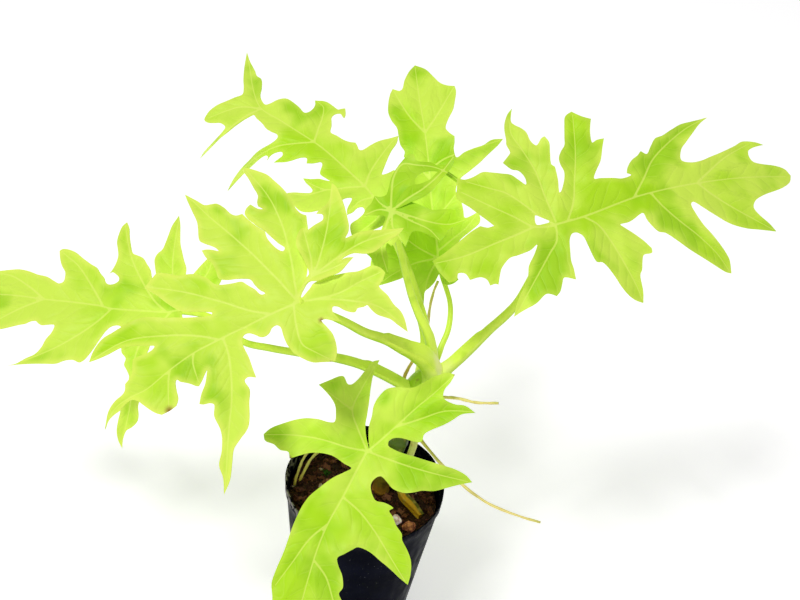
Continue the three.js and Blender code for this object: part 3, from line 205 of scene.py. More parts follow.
    "seat": [-153, 10, 284], "turn": [175, -8, -28], "scale": 1, "droop": 4, "wave": 1.6, "lifts": [0],
    "bends": [[90, 0, 188, -4, 60, 16], [20, 40, 16, 108, 24, 16], [45, -40, 56, -70, 20, 8],
      [13, -40, 16, -79, 20, 8], [80, 35, 117, 55, 24, 10]],
    "margins": ["""
      188,-4^ 178,3 168,11 160,18 153,25 147,31^ 140,29 131,27 125,25 118,22.5 113,21 110,19 106,18
      103,20 100,21 95,20 90.5,20 91,26 94,32 95.5,38 99,44 105,48 111,53 117,55^ 110,53.5 100,52
      90,51 81,50 75,47 69,46 64,47.5 61,45.5 58.5,41.5 56,36 53,28 50,21 46.5,17 41,16 37,20 36,27
      35.5,32 34,37 30,41 30,46 27,50 24,55 24,64 25,73 24,82 24,88 23,96 20,103 16,108^ 17,101
      16,95 13,92.5 10,88 10,83 12,76 12,70 14,62 16,52 16,44 15.5,37 14.5,33 14,29 10,21 3,12 -5,7
      -4,2.5 -2,-1 -8,-5 -18,-12 -26,-22 -28,-32 -24,-42 -18,-50^ -14,-45 -10,-39 -6,-32 -4,-28
      -2,-22 0,-28 1,-35 4,-41 7,-48 10,-55 12,-63 14,-72 16.5,-79^ 20,-70 21,-62 22,-54 23,-49
      26,-45 27,-40 25,-33 23,-27 23,-20 26,-26 28,-31 32,-36 36,-40.5 41,-42.5 45,-44 48,-50
      51,-58 53,-65 56,-70^ 59,-66 60,-60 60,-53 58,-47 56,-41 56,-35 57.5,-29 59,-25.5^ 57,-27
      54,-25.5 51,-23 50.5,-20 53,-17.5 57,-16.5 60,-18 62,-21.5 66,-25 70,-29.5 75,-32 82,-36
      90,-41 96,-43 101,-43 103,-41^ 101,-35 98,-29 94,-24 93,-20 93,-16 96,-14 100,-15.5 105,-18
      108,-19 115,-20 122,-22 130,-23 138,-22 145,-20.5 152,-19 163,-16 175,-11"""],
    "holes": [],
    "ribs": ["0,0 8,2 20,2.5 50,3 60,1.5 80,0.5 105,0 125,-1 145,-1 170,-2 186,-4",
      "8,2 20,-7 35,-25 45,-40 52,-55 57,-68", "57,1.5 70,-14 85,-30 97,-38 102,-42",
      "104,0 118,-9 135,-17 150,-18", "50,3 58,14 70,26 85,38 100,47 115,54.5",
      "104,0 120,9 135,20 146,30", "0,0 6,-15 11,-32 14,-50 16,-77", "-1,0 -8,-15 -16,-32 -18,-48",
      "4,1 12,14 22,30 22,50 18,75 17,106"],
  },
  "golden_leaf_centre": {
    "seat": [-7.4, 30.9, 382.2], "turn": [0, -1, 28], "scale": 1.031, "droop": 6, "wave": 1.4,
    "lifts": [0, 8],
    "bends": [[18, 36, 45, 31, 12, 9], [10, 0, 52, 3, 22, 5], [-4, -20, 4, -47, 22, 10]],
    "margins": ["""
      43.5,9^ 44,5 47,3.5 52,3^ 48.5,-1 44,-4 40.5,-7 38.5,-12 35.5,-17^ 32,-14.5 28,-13 24,-11.8
      20,-11.3 17,-12.3 15.3,-15 14.5,-19 13.5,-25^ 11,-22 8,-19.5 6.5,-22 4,-26^ 1,-24 0.5,-28
      2.5,-33 3.5,-39 5,-47^ -1,-45 -6,-41 -8,-37 -12,-34^ -8,-31 -5,-26 -5,-18 -3.5,-10 -3,-4.5
      -10,-4.5 -18,-6^ -17,-1 -14,4 -12.5,10^ -8.5,10 -5,12 -4,18 -3.5,25 -2,31 0,36 3,42 6,46.5
      9.5,47 11,44 13,42.5 17,42.6 22,43 26,41.5 30,39.8 35,37.8 41,34.5 45.5,31^ 44,29.5 39,32
      33,35.2 27,36.7 22,36 18,34.5 14.5,31.5 13,28 13,23.5 12,16 13,10 18,8.8 25,6.8 28,6.3
      36,8.3""",
    """
      37.5,52^ 37.5,45 35.5,39 32,33 28,25.5 25,20.5 20,15 13,10 8,6 3,3 3,8 6,16 9,21 13,23.5
      16,24.5 20,27 23,29.5 26,34 30,40 34,46"""],
    "holes": [],
    "ribs": ["0,1 -1.5,15 -1.5,28 3,38 12,39 24,39.5 35,36.5 44,30.5", "1,1 10,12 20,22 30,36 37,50",
      "1,1 15,-1.5 28,-3.5 40,-3 50,2", "2,0 15,-5 27,-9 35,-15.5", "1,0 3,-12 9,-19 13,-24",
      "0,0 -2,-15 -2,-30 4,-45", "0,0 -8,0 -16,-5", "0,1 -8,5 -12,9"],
  },
  "golden_leaf_front": {
    "seat": [-0.7, -55.6, 233.4], "turn": [-109, -39, -13], "scale": 0.96, "droop": 4, "wave": 1.5,
    "lifts": [0],
    "bends": [[90, -3, 165, 2, 60, 14], [-5, 40, -9, 81, 26, 8], [8, -40, 18, -76, 26, 8],
      [55, 35, 78, 65, 26, 8]],
    "margins": ["""
      165,2^ 158,10 148,18 138,22 130,24 131,32 128,42^ 120,36 113,29 107,25 103,21 98,22 90,18
      85,13 80,10 75,14 70,18 67,21 67,30 70,40 73,50 76,58 78,65^ 70,64 62,61 56,56 50,49 46,47
      42,41 37,36 34,32 31,34 30,27 31,20 28,16 24,13 20,12 15,14 13,17 15,22 18,28 18,36 15,43
      11,49 8,57 3,64 -3,72 -9,81^ -12,75 -13,65 -12,55 -11,45 -10,35 -9,25 -9,17 -10,13 -14,12
      -17,15 -19,20 -20,28 -21,33 -23,35 -28,34.5 -33,38 -40,45 -46,50 -53,55 -58,64^ -60,55
      -58,47 -59,38 -65,36 -72,38 -79,39^ -78,33 -72,26 -65,20 -58,14 -55,8 -52,0 -48,-5 -40,-8
      -33,-8.5 -26,-7 -18,-6 -10,-3 -2,1 -10,-5 -18,-9 -25,-10.5 -35,-13 -45,-16 -55,-18 -67,-18^
      -64,-22 -55,-25 -48,-27 -42,-30 -41,-33 -45,-38 -44,-41 -38,-47 -32,-53^ -28,-43 -23,-36
      -18,-33 -11,-31 -9,-35 -8,-43 -5,-52 0,-60 6,-67 12,-73 18,-76^ 22,-73 22,-66 24,-60 23,-54
      27,-51^ 22,-45 17,-38 14,-30 13,-22 15,-12 16,-6 20,-9 28,-16 38,-22 48,-27 60,-29 75,-29
      90,-28 105,-28 115,-27 125,-22 138,-18 150,-12 160,-6"""],
    "holes": [],
    "ribs": ["0,0 20,-2 38,-3.5 60,-6 80,-6 100,-4 125,-1 163,1", "0,2 -1,25 -3,45 -8,78",
      "-1,1 -15,8 -28,14 -45,22 -60,30 -77,38", "-25,13 -38,28 -50,42 -58,62",
      "0,0 -12,-12 -24,-22 -40,-22 -64,-19", "-24,-22 -31,-50", "0,0 3,-15 5,-35 10,-55 18,-75",
      "38,-3 43,12 52,28 62,42 77,63", "88,-5 96,8 112,22 127,40", "60,-6 75,-14 95,-19 115,-24"],
  },
  "golden_leaf_top": {
    "seat": [31.9, 78.8, 314.6], "turn": [105, 35, -10], "scale": 1.04, "droop": 3, "wave": 1.3,
    "lifts": [0],
    "bends": [[75, 0, 157, 4, 60, 14], [78, -25, 91, -58, 24, 8], [-10, 5, -50, 15, 30, 6]],
    "margins": ["""
      157,4^ 152,9 145,13 138,15.2 136.3,17.5 138.3,22.7^ 134,25 127,26.8 119,27.5 112,25.5 106,22
      100,21.3 92,20.5 86,17.7 82,18.7^ 78,15 70,15 62,18 54,24 44,30 34,32 24,35 14,42 5,48
      -5,50 -18,46^ -16,37 -13.5,28 -12,25 -20,23.5 -35,19.5 -50,15.5^ -45,12.5 -38,14 -30,13
      -25,12 -22,8 -18,4 -14,1.5 -12,0 -16,-0.5 -20,-1.5^ -21,-6 -20,-10 -17.5,-13.5^ -14,-12
      -11,-14 -8,-17 -3,-19^ 0,-14 3,-10 8,-13 14.3,-19 19.3,-26 25,-33 29,-34 34,-33^ 31,-27 30,-22.5
      36,-22 44,-21 50,-18
      56,-19 62,-23 67,-30 73,-38 80,-46 86,-53 91,-57.5^ 91,-49 87,-42 85,-35 82,-27 78.5,-21
      85,-19.5 91,-20.7 96,-21^ 99,-17.5 103,-15 110,-17.5 118,-22 126,-24.3 133,-25.7 137.5,-25^
      138.5,-19 141,-14 147,-9 153,-4"""],
    "holes": [],
    "ribs": ["0,0 18,0 45,1 70,0.5 100,1 130,3 155,4", "70,0 78,-12 84,-32 90,-55",
      "62,0.5 72,8 82,17", "100,1 115,12 136,22", "100,1 115,-10 136,-24", "0,0 10,15 25,30",
      "0,0 -3,18 -10,34 -17,45", "0,0 -18,10 -48,15", "0,0 -12,-6 -18,-11", "5,0 14,-12 22,-23 31,-31",
      "30,0 40,-10 48,-17", "30,0 38,14 44,28"],
  },
}

# Burnt spots, in the leaf's own plane: place and reach, in mm.
SCORCHES = {
    "golden_leaf_left": [(114, 17.8, 5), (-7, 20, 3), (3, 50, 2)],
    "golden_leaf_front": [(-79, 39, 2), (27, -51, 3)],
    "golden_leaf_centre": [(37.5, 52, 1.5)],
}

# How each blade is coloured: its tint, from yellow at 0 to green at 1, which also shifts it from lighter
# patches, partly painted highlight, to deeper ones, partly painted shade, and how pale its edge is.
BLADE_LOOKS = {
    "golden_leaf_right": (0.38, 0.3), "golden_leaf_back": (0.3, 0.3), "golden_leaf_left": (0.3, 0.6),
    "golden_leaf_far_left": (0.25, 0.5), "golden_leaf_centre": (0.45, 0.1),
    "golden_leaf_front": (0.4, 0.2), "golden_leaf_top": (0.45, 0.3),
}

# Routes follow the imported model's, in mm, but the stalks stand closer together at the crown. radii
# run along a route at even steps. wings gives how far up a stalk its sheath runs, as a share, and
# how high the sheath's edges stand. face is the direction that its open side looks in.
STALKS = {
    "leaf_stalk_centre": {"radii": [5.0, 3.7, 2.9, 2.5, 2.2], "wings": (0.3, 0.5),
        "face": (0.2, -0.4, 0.9),
        "route": [[36.9, 9.6, 249.5], [36.7, 10.1, 274.8], [30.8, 10, 296], [22.7, 12.6, 309.3],
            [15.9, 16.8, 321.4], [9.3, 22, 336.3], [1.4, 28.7, 356.6], [-7.3, 34, 379.9]]},
    "leaf_stalk_right": {"radii": [6.2, 4.6, 3.5, 3.1, 2.8], "wings": (0.42, 0.9),
        "face": (-0.3, -0.3, 0.9),
        "route": [[38.7, 6.9, 249.2], [45.3, 8.4, 261.1], [53, 10.5, 270.4],
            [63.7, 16.1, 282.6], [76.1, 23.4, 297.1], [85.3, 27, 308.3], [92.3, 30.2, 319.1],
            [98.2, 34.1, 335.6], [104.1, 37.2, 359.5], [107.2, 42, 385.3]]},
    "leaf_stalk_left": {"radii": [7.2, 7.6, 6.9, 5.1, 3.8, 3.3, 3, 2.8, 2.7], "wings": (0.52, 2.2),
        "face": (0.3, -0.2, 0.9),
        "route": [[39.5, 1.1, 251.5], [37.8, 1.1, 268], [30, -2.3, 281.7],
            [16.4, -6.9, 292.1], [1.1, -13.2, 303.6], [-13.3, -20.8, 313.4], [-27.7, -28.4, 326.4],
            [-41.5, -34.5, 336.6], [-59.1, -40.3, 347.1]]},
    "leaf_stalk_far_left": {"radii": [5.2, 4.2, 3.7, 2.8, 2.5, 2.3], "wings": (0.36, 1.1),
        "face": (0, -0.2, 0.9),
        "route": [[29.1, 6.8, 234.3], [22.8, 3.7, 245.1], [15.4, 3, 250.8], [0.3, 3.3, 257.7],
            [-15.2, 4.7, 262], [-32.7, 5.6, 264], [-60.5, 6.6, 262.9], [-83.2, 8.1, 262.4],
            [-103.7, 9.3, 263.9],
            [-121.6, 14.9, 274.5], [-136.1, 15.8, 278.9], [-155.7, 13.8, 281.2]]},
    "leaf_stalk_top": {"radii": [2.8, 2.2, 1.9, 1.9], "wings": (0.3, 0.3), "face": (0, -0.9, 0.3),
        "route": [[35.7, 10.6, 252.5], [41.1, 21.1, 264.4], [43.3, 28.3, 270.6],
            [46.6, 38.3, 278.7], [46.8, 48.6, 287.2], [44.8, 56.9, 293], [41, 63.7, 298.7],
            [36.7, 70.2, 304.7], [32.1, 77.3, 313]]},
    "leaf_stalk_back": {"radii": [5, 3.4, 2.6], "wings": (0.4, 1.2), "face": (0, -0.9, 0.3),
        "route": [[31, 12, 250], [31, 28, 275], [20, 44, 300], [4, 56, 330], [-12, 62, 356],
            [-21, 61, 372]]},
    "leaf_stalk_front": {"radii": [5, 3.4, 2.6], "wings": (0.4, 1.2), "face": (0, 0, 1),
        "route": [[25, 5, 208], [20, -16, 222], [10, -38, 230], [-0.5, -56, 229.5]]},
}
STEM = {"radii": [6.5, 7, 8, 8.3, 8.5, 4],
    "route": [[12.5, 10, 118], [14, 9.5, 140], [20.5, 8, 183], [25, 8, 215], [29, 8, 245], [38, 8, 268]]}
ROOTS = {
    "aerial_root_front": {"radii": [1.5, 1.2, 0.9], "route": [[25, 6, 213], [33, -3, 208],
        [40, -9, 204.5], [55, -25, 201], [74, -40, 196], [93, -52, 194], [115, -62, 196], [130, -71, 202]]},
    "aerial_root_right": {"radii": [1.5, 1.2, 1], "route": [[29, 7, 238], [46, 3, 242], [60, 0, 246],
        [74, -4, 248], [90, -8, 254]]},
    "aerial_root_back": {"radii": [1.4, 1.2, 1],
        "route": [[18, 14.1, 239], [19.8, 22.9, 243.8], [23.3, 31.4, 248.3], [27.8, 41.1, 256.1],
            [31.6, 48.9, 264.5], [31.2, 55.9, 273.7], [31.2, 61.7, 283], [32.4, 67.2, 291.7],
            [34.4, 70.9, 299]]},
    "pot_root_outer": {"radii": [1.2, 1.1, 0.9], "route": [[-55, 1, 121], [-56, 2.5, 129],
        [-54.6, 11, 135], [-52.6, 19, 139.5], [-48.5, 28, 142.5], [-42, 37, 139], [-37, 43, 131],
        [-36, 44, 121]]},
    "pot_root_inner": {"radii": [1.3, 1.2, 1], "route": [[-51.5, 4, 121], [-52.2, 6.5, 129],
        [-50, 13.5, 133], [-46.3, 22.5, 138], [-40, 31, 140.5], [-34, 37.5, 137.5], [-29, 43, 130],
        [-28, 44, 121]]},
}
# A wisp of root at the far wall.
WISP = [[-10, 51, 126], [-6, 53.5, 131], [0, 55.5, 133], [5, 54.5, 132], [9, 52, 126]]
WITHERED_STALK = {"radii": [2.8, 2.8, 2.8, 2.8, 3.2, 3.8, 4, 3.2],
    "route": [[27, 5, 222], [33.5, 0, 200], [32, 1, 178], [29.5, 4, 152], [29, 4, 139], [33, 0, 132.8],
        [40, -6, 131.5], [48, -14.5, 129]]}


# Lines and outlines

def read_points(text):
    """The points of a line of text, and which of them are sharp."""
    words = text.split()
    points = [np.array([float(c) for c in word.rstrip("^").split(",")]) for word in words]
    return points, [word.endswith("^") for word in words]


def cubic(t, a, b, start, end):
    """The curve from a to b that leaves along start and arrives along end."""
    leaving = (2 * t**3 - 3 * t**2 + 1) * a + (t**3 - 2 * t**2 + t) * start
    return leaving + (3 * t**2 - 2 * t**3) * b + (t**3 - t**2) * end


def smooth_line(text, step, closed):
    """A smooth line through the points in short steps. Sharp points keep their corner."""
    points, sharp = read_points(text)
    count = len(points)
    line = []
    for i in range(count if closed else count - 1):
        before, a, b, after = (points[(i + k) % count] for k in (-1, 0, 1, 2))
        chord = b - a
        reach = np.linalg.norm(chord)
        start = end = chord
        if not (sharp[i] or (not closed and i == 0)):
            start = (b - before) * reach / (np.linalg.norm(a - before) + reach)
        if not (sharp[(i + 1) % count] or (not closed and i == count - 2)):
            end = (after - a) * reach / (np.linalg.norm(after - b) + reach)
        steps = max(1, math.ceil(reach / step))
        t = np.arange(steps)[:, None] / steps
        line.append(cubic(t, a, b, start, end))
    if not closed:
        line.append(points[-1][None])
    return np.concatenate(line)


def near_line(points, line, closed):
    """How far each point is from a line, how far along the line that is, and on which side."""
    if len(points) > 500:
        parts = [near_line(points[i : i + 500], line, closed) for i in range(0, len(points), 500)]
        return tuple(np.concatenate(p) for p in zip(*parts))
    starts = line if closed else line[:-1]
    chords = (np.roll(line, -1, axis=0) if closed else line[1:])[: len(starts)] - starts
    lengths = np.linalg.norm(chords, axis=1)
    travelled = np.concatenate([[0], np.cumsum(lengths)[:-1]])
    x = points[:, :1] - starts[:, 0]
    y = points[:, 1:] - starts[:, 1]
    share = np.clip((x * chords[:, 0] + y * chords[:, 1]) / np.maximum(lengths**2, 1e-9), 0, 1)
    away = (x - share * chords[:, 0]) ** 2 + (y - share * chords[:, 1]) ** 2
    nearest = away.argmin(1)
    rows = np.arange(len(points))
    cross = chords[nearest, 0] * y[rows, nearest] - chords[nearest, 1] * x[rows, nearest]
    along = travelled[nearest] + share[rows, nearest] * lengths[nearest]
    return np.sqrt(away[rows, nearest]), along, np.sign(cross)


def inside(points, loops):
    """Which points lie inside the outline that the loops make together."""
    odd = np.zeros(len(points), bool)
    for loop in loops:
        ends = np.roll(loop, -1, axis=0)
        rise = ends[:, 1] - loop[:, 1]
        rise[rise == 0] = 1e-9
        spans = (loop[:, 1] > points[:, 1, None]) != (ends[:, 1] > points[:, 1, None])
        cut = (ends[:, 0] - loop[:, 0]) * (points[:, 1, None] - loop[:, 1]) / rise + loop[:, 0]
        odd ^= (spans & (points[:, 0, None] < cut)).sum(1) % 2 == 1
    return odd


def leaf_frame(turn):
    """The leaf's directions: along its midrib, and to the left of it."""
    heading, pitch, roll = (math.radians(a) for a in turn)
    level_share = math.cos(pitch)
    along = Vector((level_share * math.cos(heading), level_share * math.sin(heading), math.sin(pitch)))
    level = Vector((0, 0, 1)).cross(along).normalized()
    left = level * math.cos(roll) + along.cross(level) * math.sin(roll)
    return np.array(along), np.array(left)


def smooth_step(value, low, high):
    t = np.clip((value - low) / (high - low), 0, 1)
    return t * t * (3 - 2 * t)


def blade_rise(leaf, points, lift, rib, edge):
    """How far the blade stands towards the eye at each point of the leaf's own plane, in mm."""
    x, y = points.T
    rise = -leaf["droop"] * ((x - DROOP_CENTRE) ** 2 + y**2) / 1e4
    for x0, y0, x1, y1, width, drop in leaf["bends"]:
        reach = math.hypot(x1 - x0, y1 - y0)
        forward = ((x - x0) * (x1 - x0) + (y - y0) * (y1 - y0)) / reach**2
        aside = ((y - y0) * (x1 - x0) - (x - x0) * (y1 - y0)) / (reach * width)
        rise -= drop * np.maximum(forward, 0) ** 2 * np.exp(-(aside**2))
    rounded = np.sqrt(rib**2 + 0.6) - math.sqrt(0.6)
    rise += PUFF * (1 - np.exp(-rounded / PUFF_REACH)) + FOLD * (1 - np.exp(-rounded / FOLD_REACH))
    ruffle = np.sin(0.19 * x + 0.31 * y + 1) * np.cos(0.27 * y - 0.12 * x)
    rise += RUFFLE * ruffle * (1 - np.exp(-rounded / RUFFLE_REACH))
    wave = np.sin(0.21 * x + 0.12 * y) * np.cos(0.17 * y - 0.06 * x)
    rise += leaf["wave"] * wave * np.exp(-edge / WAVE_REACH)
    return rise + lift * (1 - np.exp(-((x / LIFT_REACH) ** 2) - (y / LIFT_REACH) ** 2))


# Making meshes

def only(obj):
    """Makes obj the one selected and active object."""
    bpy.ops.object.select_all(action="DESELECT")
    obj.select_set(True)
    bpy.context.view_layer.objects.active = obj
    return obj


def mesh_object(name, vertices, faces):
    """An object at the origin, with its vertices in mm from there."""
    mesh = bpy.data.meshes.new(name)
    mesh.from_pydata([Vector(v) * MM for v in vertices], [], [tuple(int(i) for i in f) for f in faces])
    mesh.update()
    obj = bpy.data.objects.new(name, mesh)
    bpy.context.scene.collection.objects.link(obj)
    return only(obj)


def store(obj, name, values):
    """Keeps one number for each vertex, for the materials to read."""
    attribute = obj.data.attributes.new(name, "FLOAT", "POINT")
    attribute.data.foreach_set("value", np.asarray(values, np.float32))


def stored(obj, name):
    values = np.zeros(len(obj.data.vertices), np.float32)
    obj.data.attributes[name].data.foreach_get("value", values)
    return values


def coordinates(obj):
    values = np.zeros(len(obj.data.vertices) * 3, np.float32)
    obj.data.vertices.foreach_get("co", values)
    return values.reshape(-1, 3).astype(float)


def set_coordinates(obj, values):
    obj.data.vertices.foreach_set("co", np.asarray(values, np.float32).ravel())
    obj.data.update()


def apply_modifier(obj, kind, **settings):
    modifier = only(obj).modifiers.new(kind.title(), kind)
    for key, value in settings.items():
        setattr(modifier, key, value)
    bpy.ops.object.modifier_apply(modifier=modifier.name)


def smooth(obj, angle=50):
    only(obj)
    bpy.ops.object.shade_smooth_by_angle(angle=math.radians(angle))


def join(name, objects):
    bpy.ops.object.select_all(action="DESELECT")
    for obj in objects:
        obj.select_set(True)
    bpy.context.view_layer.objects.active = objects[0]
    if len(objects) > 1:
        bpy.ops.object.join()
    objects[0].name = name
    return objects[0]


def finished(obj, material, slot, *nodes):
    """Gives a piece its material, and hangs it on the body in place of its nodes."""
    obj.data.materials.clear()
    obj.data.materials.append(material)
    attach(obj, BODY)
    if nodes:
        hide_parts(*nodes)
    return obj


# Leaf blades

def blade_sheet(name, leaf, index):
    """One sheet of a blade, filled with points along its ribs and between them."""
    loops = [smooth_line(leaf["margins"][index], MARGIN_STEP, True)]
    if index == 0:
        loops += [smooth_line(hole, MARGIN_STEP, True) for hole in leaf["holes"]]
    ribs = [smooth_line(rib, RIB_STEP, False) for rib in leaf["ribs"]]
    low, high = loops[0].min(0), loops[0].max(0)
    rows = np.arange(low[1], high[1], NET * 0.866)
    grid = []
    for k, y in enumerate(rows):
        across = np.arange(low[0] + (k % 2) * NET / 2, high[0], NET)
        grid.append(np.stack([across, np.full(len(across), y)], 1))
    grid = np.concatenate(grid)
    grid = grid[inside(grid, loops)]
    clear = np.min([near_line(grid, loop, True)[0] for loop in loops], axis=0)
    ribbed = np.min([near_line(grid, rib, False)[0] for rib in ribs], axis=0)
    grid = grid[(clear > NET * 0.45) & (ribbed > NET * 0.5)]
    points, edges = [], []
    for loop in loops:
        first = sum(map(len, points))
        points.append(loop)
        edges += [(first + i, first + (i + 1) % len(loop)) for i in range(len(loop))]
    for rib in ribs:
        rib = rib[inside(rib, loops)]
        if not len(rib):
            continue
        rib = rib[np.min([near_line(rib, loop, True)[0] for loop in loops], axis=0) > 0.5]
        first = sum(map(len, points))
        points.append(rib)
        steps = np.linalg.norm(np.diff(rib, axis=0), axis=1) if len(rib) > 1 else []
        edges += [(first + i, first + i + 1) for i, s in enumerate(steps) if s < RIB_STEP * 2]
    points.append(grid)
    flat, _, faces, *_ = delaunay_2d_cdt([Vector(p) for p in np.concatenate(points)], edges, [], 0, 1e-4)
    flat = np.array([tuple(p) for p in flat])
    faces = np.array(faces)
    faces = faces[inside(flat[faces].mean(1), loops)]
    used, faces = np.unique(faces, return_inverse=True)
    flat, faces = flat[used], faces.reshape(-1, 3)
    away, along, side = (np.array(v) for v in zip(*[near_line(flat, rib, False) for rib in ribs]))
    nearest = away.argmin(0)
    columns = np.arange(len(flat))
    ranked = np.sort(away, axis=0)
    lengths = np.array([np.linalg.norm(np.diff(rib, axis=0), axis=1).sum() for rib in ribs])
    edge = np.min([near_line(flat, loop, True)[0] for loop in loops], axis=0)
    rib = ranked[0]
    forward, left = leaf_frame(leaf["turn"])
    place = np.array(leaf["seat"]) + leaf["scale"] * (flat[:, :1] * forward + flat[:, 1:] * left)
    to_eye = EYE - place
    to_eye /= np.linalg.norm(to_eye, axis=1)[:, None]
    place = place + to_eye * blade_rise(leaf, flat, leaf["lifts"][index], rib, edge)[:, None]
    sheet = mesh_object(name, place, faces)
    store(sheet, "rib", rib)
    store(sheet, "along", along[nearest, columns] + 1.7 * side[nearest, columns])
    store(sheet, "taper", 1 - 0.72 * along[nearest, columns] / lengths[nearest])
    store(sheet, "meeting", ranked[1] - ranked[0])
    store(sheet, "edge", edge)
    burnt = np.zeros(len(flat))
    for x, y, reach in SCORCHES.get(name.rsplit("_sheet", 1)[0], []):
        burnt = np.maximum(burnt, 1 - smooth_step(np.hypot(flat[:, 0] - x, flat[:, 1] - y), 0, reach))
    store(sheet, "scorch", burnt)
    return sheet


def thicken(sheet):
    """Gives a sheet its thickness, with ribs that stand out under it and a little above."""
    middle = coordinates(sheet)
    count = len(middle)
    apply_modifier(sheet, "SOLIDIFY", thickness=BLADE * MM, offset=0)
    place = coordinates(sheet)
    step = place[:count] - place[count : 2 * count]
    step /= np.maximum(np.linalg.norm(step, axis=1), 1e-9)[:, None]
    rib = stored(sheet, "rib")[:count]
    size = stored(sheet, "taper")[:count]
    normals = np.zeros((count, 3))
    for face in sheet.data.polygons:
        if max(face.vertices) < count:
            for v in face.vertices:
                normals[v] += np.array(face.normal)
    up = step * np.sign((step * normals).sum(1))[:, None]
    upper = (step * normals).sum(1) > 0
    keel = KEEL * size**1.5 * np.exp(-((rib / (0.5 + 0.9 * size)) ** 2)) * MM
    ridge = RIDGE * size * np.exp(-((rib / 0.8) ** 2)) * MM
    first, second = place[:count], place[count : 2 * count]
    first += up * np.where(upper, ridge, -keel)[:, None]
    second += up * np.where(upper, -keel, ridge)[:, None]
    set_coordinates(sheet, place)


def make_blade(node, leaf):
    sheets = [blade_sheet(f"{node}_sheet_{i}", leaf, i) for i in range(len(leaf["margins"]))]
    for sheet in sheets:
        thicken(sheet)
    blade = join(node.replace("golden_leaf", "blade"), sheets)
    smooth(blade, 60)
    tint, pale = BLADE_LOOKS[node]
    finished(blade, leaf_material(blade.name + "_skin", tint, pale), "blade", node)


# Stalks, stem and roots

def curve_points(route, rings):
    """Points along the smooth curve through a route, with the share of the way at each."""
    points = [np.array(p, float) for p in route]
    points = [2 * points[0] - points[1]] + points + [2 * points[-1] - points[-2]]
    line = []
    shares = np.linspace(0, 1, rings)
    for share in shares:
        place = min(share * (len(route) - 1), len(route) - 1 - 1e-9)
        i = int(place)
        t = place - i
        p0, p1, p2, p3 = points[i : i + 4]
        a, b, c = (max(np.linalg.norm(q - p) ** 0.5, 1e-3) for p, q in ((p0, p1), (p1, p2), (p2, p3)))
        start = ((p1 - p0) / a - (p2 - p0) / (a + b) + (p2 - p1) / b) * b
        end = ((p2 - p1) / b - (p3 - p1) / (b + c) + (p3 - p2) / c) * b
        line.append(cubic(t, p1, p2, start, end))
    return np.array(line), shares


def radius_at(radii, share):
    slot = np.minimum(share * (len(radii) - 1), len(radii) - 1.001)
    low = np.floor(slot).astype(int)
    ease = smooth_step(slot - low, 0, 1)
    values = np.array(radii)
    return values[low] * (1 - ease) + values[low + 1] * ease


def tube(name, route, radii, sides, rings, face=(0, 0, 1), shape=None):
    """A closed tube along a route. shape adds to its radius at a share of its way and an angle
    round it, from 0 on the side that face looks to."""
    line, shares = curve_points(route, rings)
    tangent = np.gradient(line, axis=0)
    tangent /= np.linalg.norm(tangent, axis=1)[:, None]
    front = np.array(face, float) - (tangent @ np.array(face, float))[:, None] * tangent
    front /= np.linalg.norm(front, axis=1)[:, None]
    aside = np.cross(tangent, front)
    angle = np.linspace(0, 2 * math.pi, sides, endpoint=False)
    way, turn = np.meshgrid(shares, angle, indexing="ij")
    radius = radius_at(radii, way)
    if shape:
        radius = radius + shape(way, (turn + math.pi) % (2 * math.pi) - math.pi)
    ring = line[:, None] + radius[..., None] * (
        np.cos(turn)[..., None] * front[:, None] + np.sin(turn)[..., None] * aside[:, None])
    vertices = np.concatenate([ring.reshape(-1, 3), line[:1], line[-1:]])
    faces = []
    for i in range(rings - 1):
        for k in range(sides):
            a, b = i * sides + k, i * sides + (k + 1) % sides
            faces.append((a, b, b + sides, a + sides))
    base, tip = rings * sides, rings * sides + 1
    for k in range(sides):
        faces.append((base, (k + 1) % sides, k))
        faces.append((tip, (rings - 1) * sides + k, (rings - 1) * sides + (k + 1) % sides))
    obj = mesh_object(name, vertices, faces)
    travelled = np.concatenate([[0], np.cumsum(np.linalg.norm(np.diff(line, axis=0), axis=1))])
    store(obj, "along", np.concatenate([np.repeat(travelled, sides), [0, travelled[-1]]]))
    store(obj, "share", np.concatenate([np.repeat(shares, sides), [0, 1]]))
    store(obj, "around", np.concatenate([np.tile(np.cos(angle), rings), [0, 0]]))
    smooth(obj, 60)
    return obj


def make_stalk(node, stalk, material):
    """A leaf stalk, with the two edges of its sheath along its upper side."""
    reach, height = stalk["wings"]

    def sheath(share, angle):
        grown = smooth_step(share, 0.02, 0.12) * (1 - smooth_step(share, reach - 0.03, reach))
        wings = np.exp(-(((np.abs(angle) - 0.85) / 0.24) ** 2))
        groove = np.exp(-((angle / 0.6) ** 2))
        swell = 1 + 0.25 * np.sin(19 * share + height)
        pulvinus = 0.5 * np.exp(-(((share - 1) / 0.05) ** 2))
        return height * grown * wings * swell - 0.35 * height * groove * grown + pulvinus

    obj = tube(node.replace("leaf_stalk", "stalk"), stalk["route"], stalk["radii"], 36, 90,
        stalk["face"], sheath)
    finished(obj, material, "stalk", node)


def make_stem(material):
    """The stem, with a ring scar wherever an old leaf has fallen."""
    def rings(share, angle):
        total = 0
        for scar in (0.1, 0.21, 0.31, 0.42, 0.55, 0.68, 0.8):
            total = total + 0.55 * np.exp(-(((share - scar - 0.012 * np.cos(angle)) / 0.012) ** 2))
        return total + 0.15 * np.sin(5 * angle + 9 * share)

    obj = tube("leaning_stem", STEM["route"], STEM["radii"], 40, 150, (0, -1, 0), rings)
    finished(obj, material, "stem", "stem")


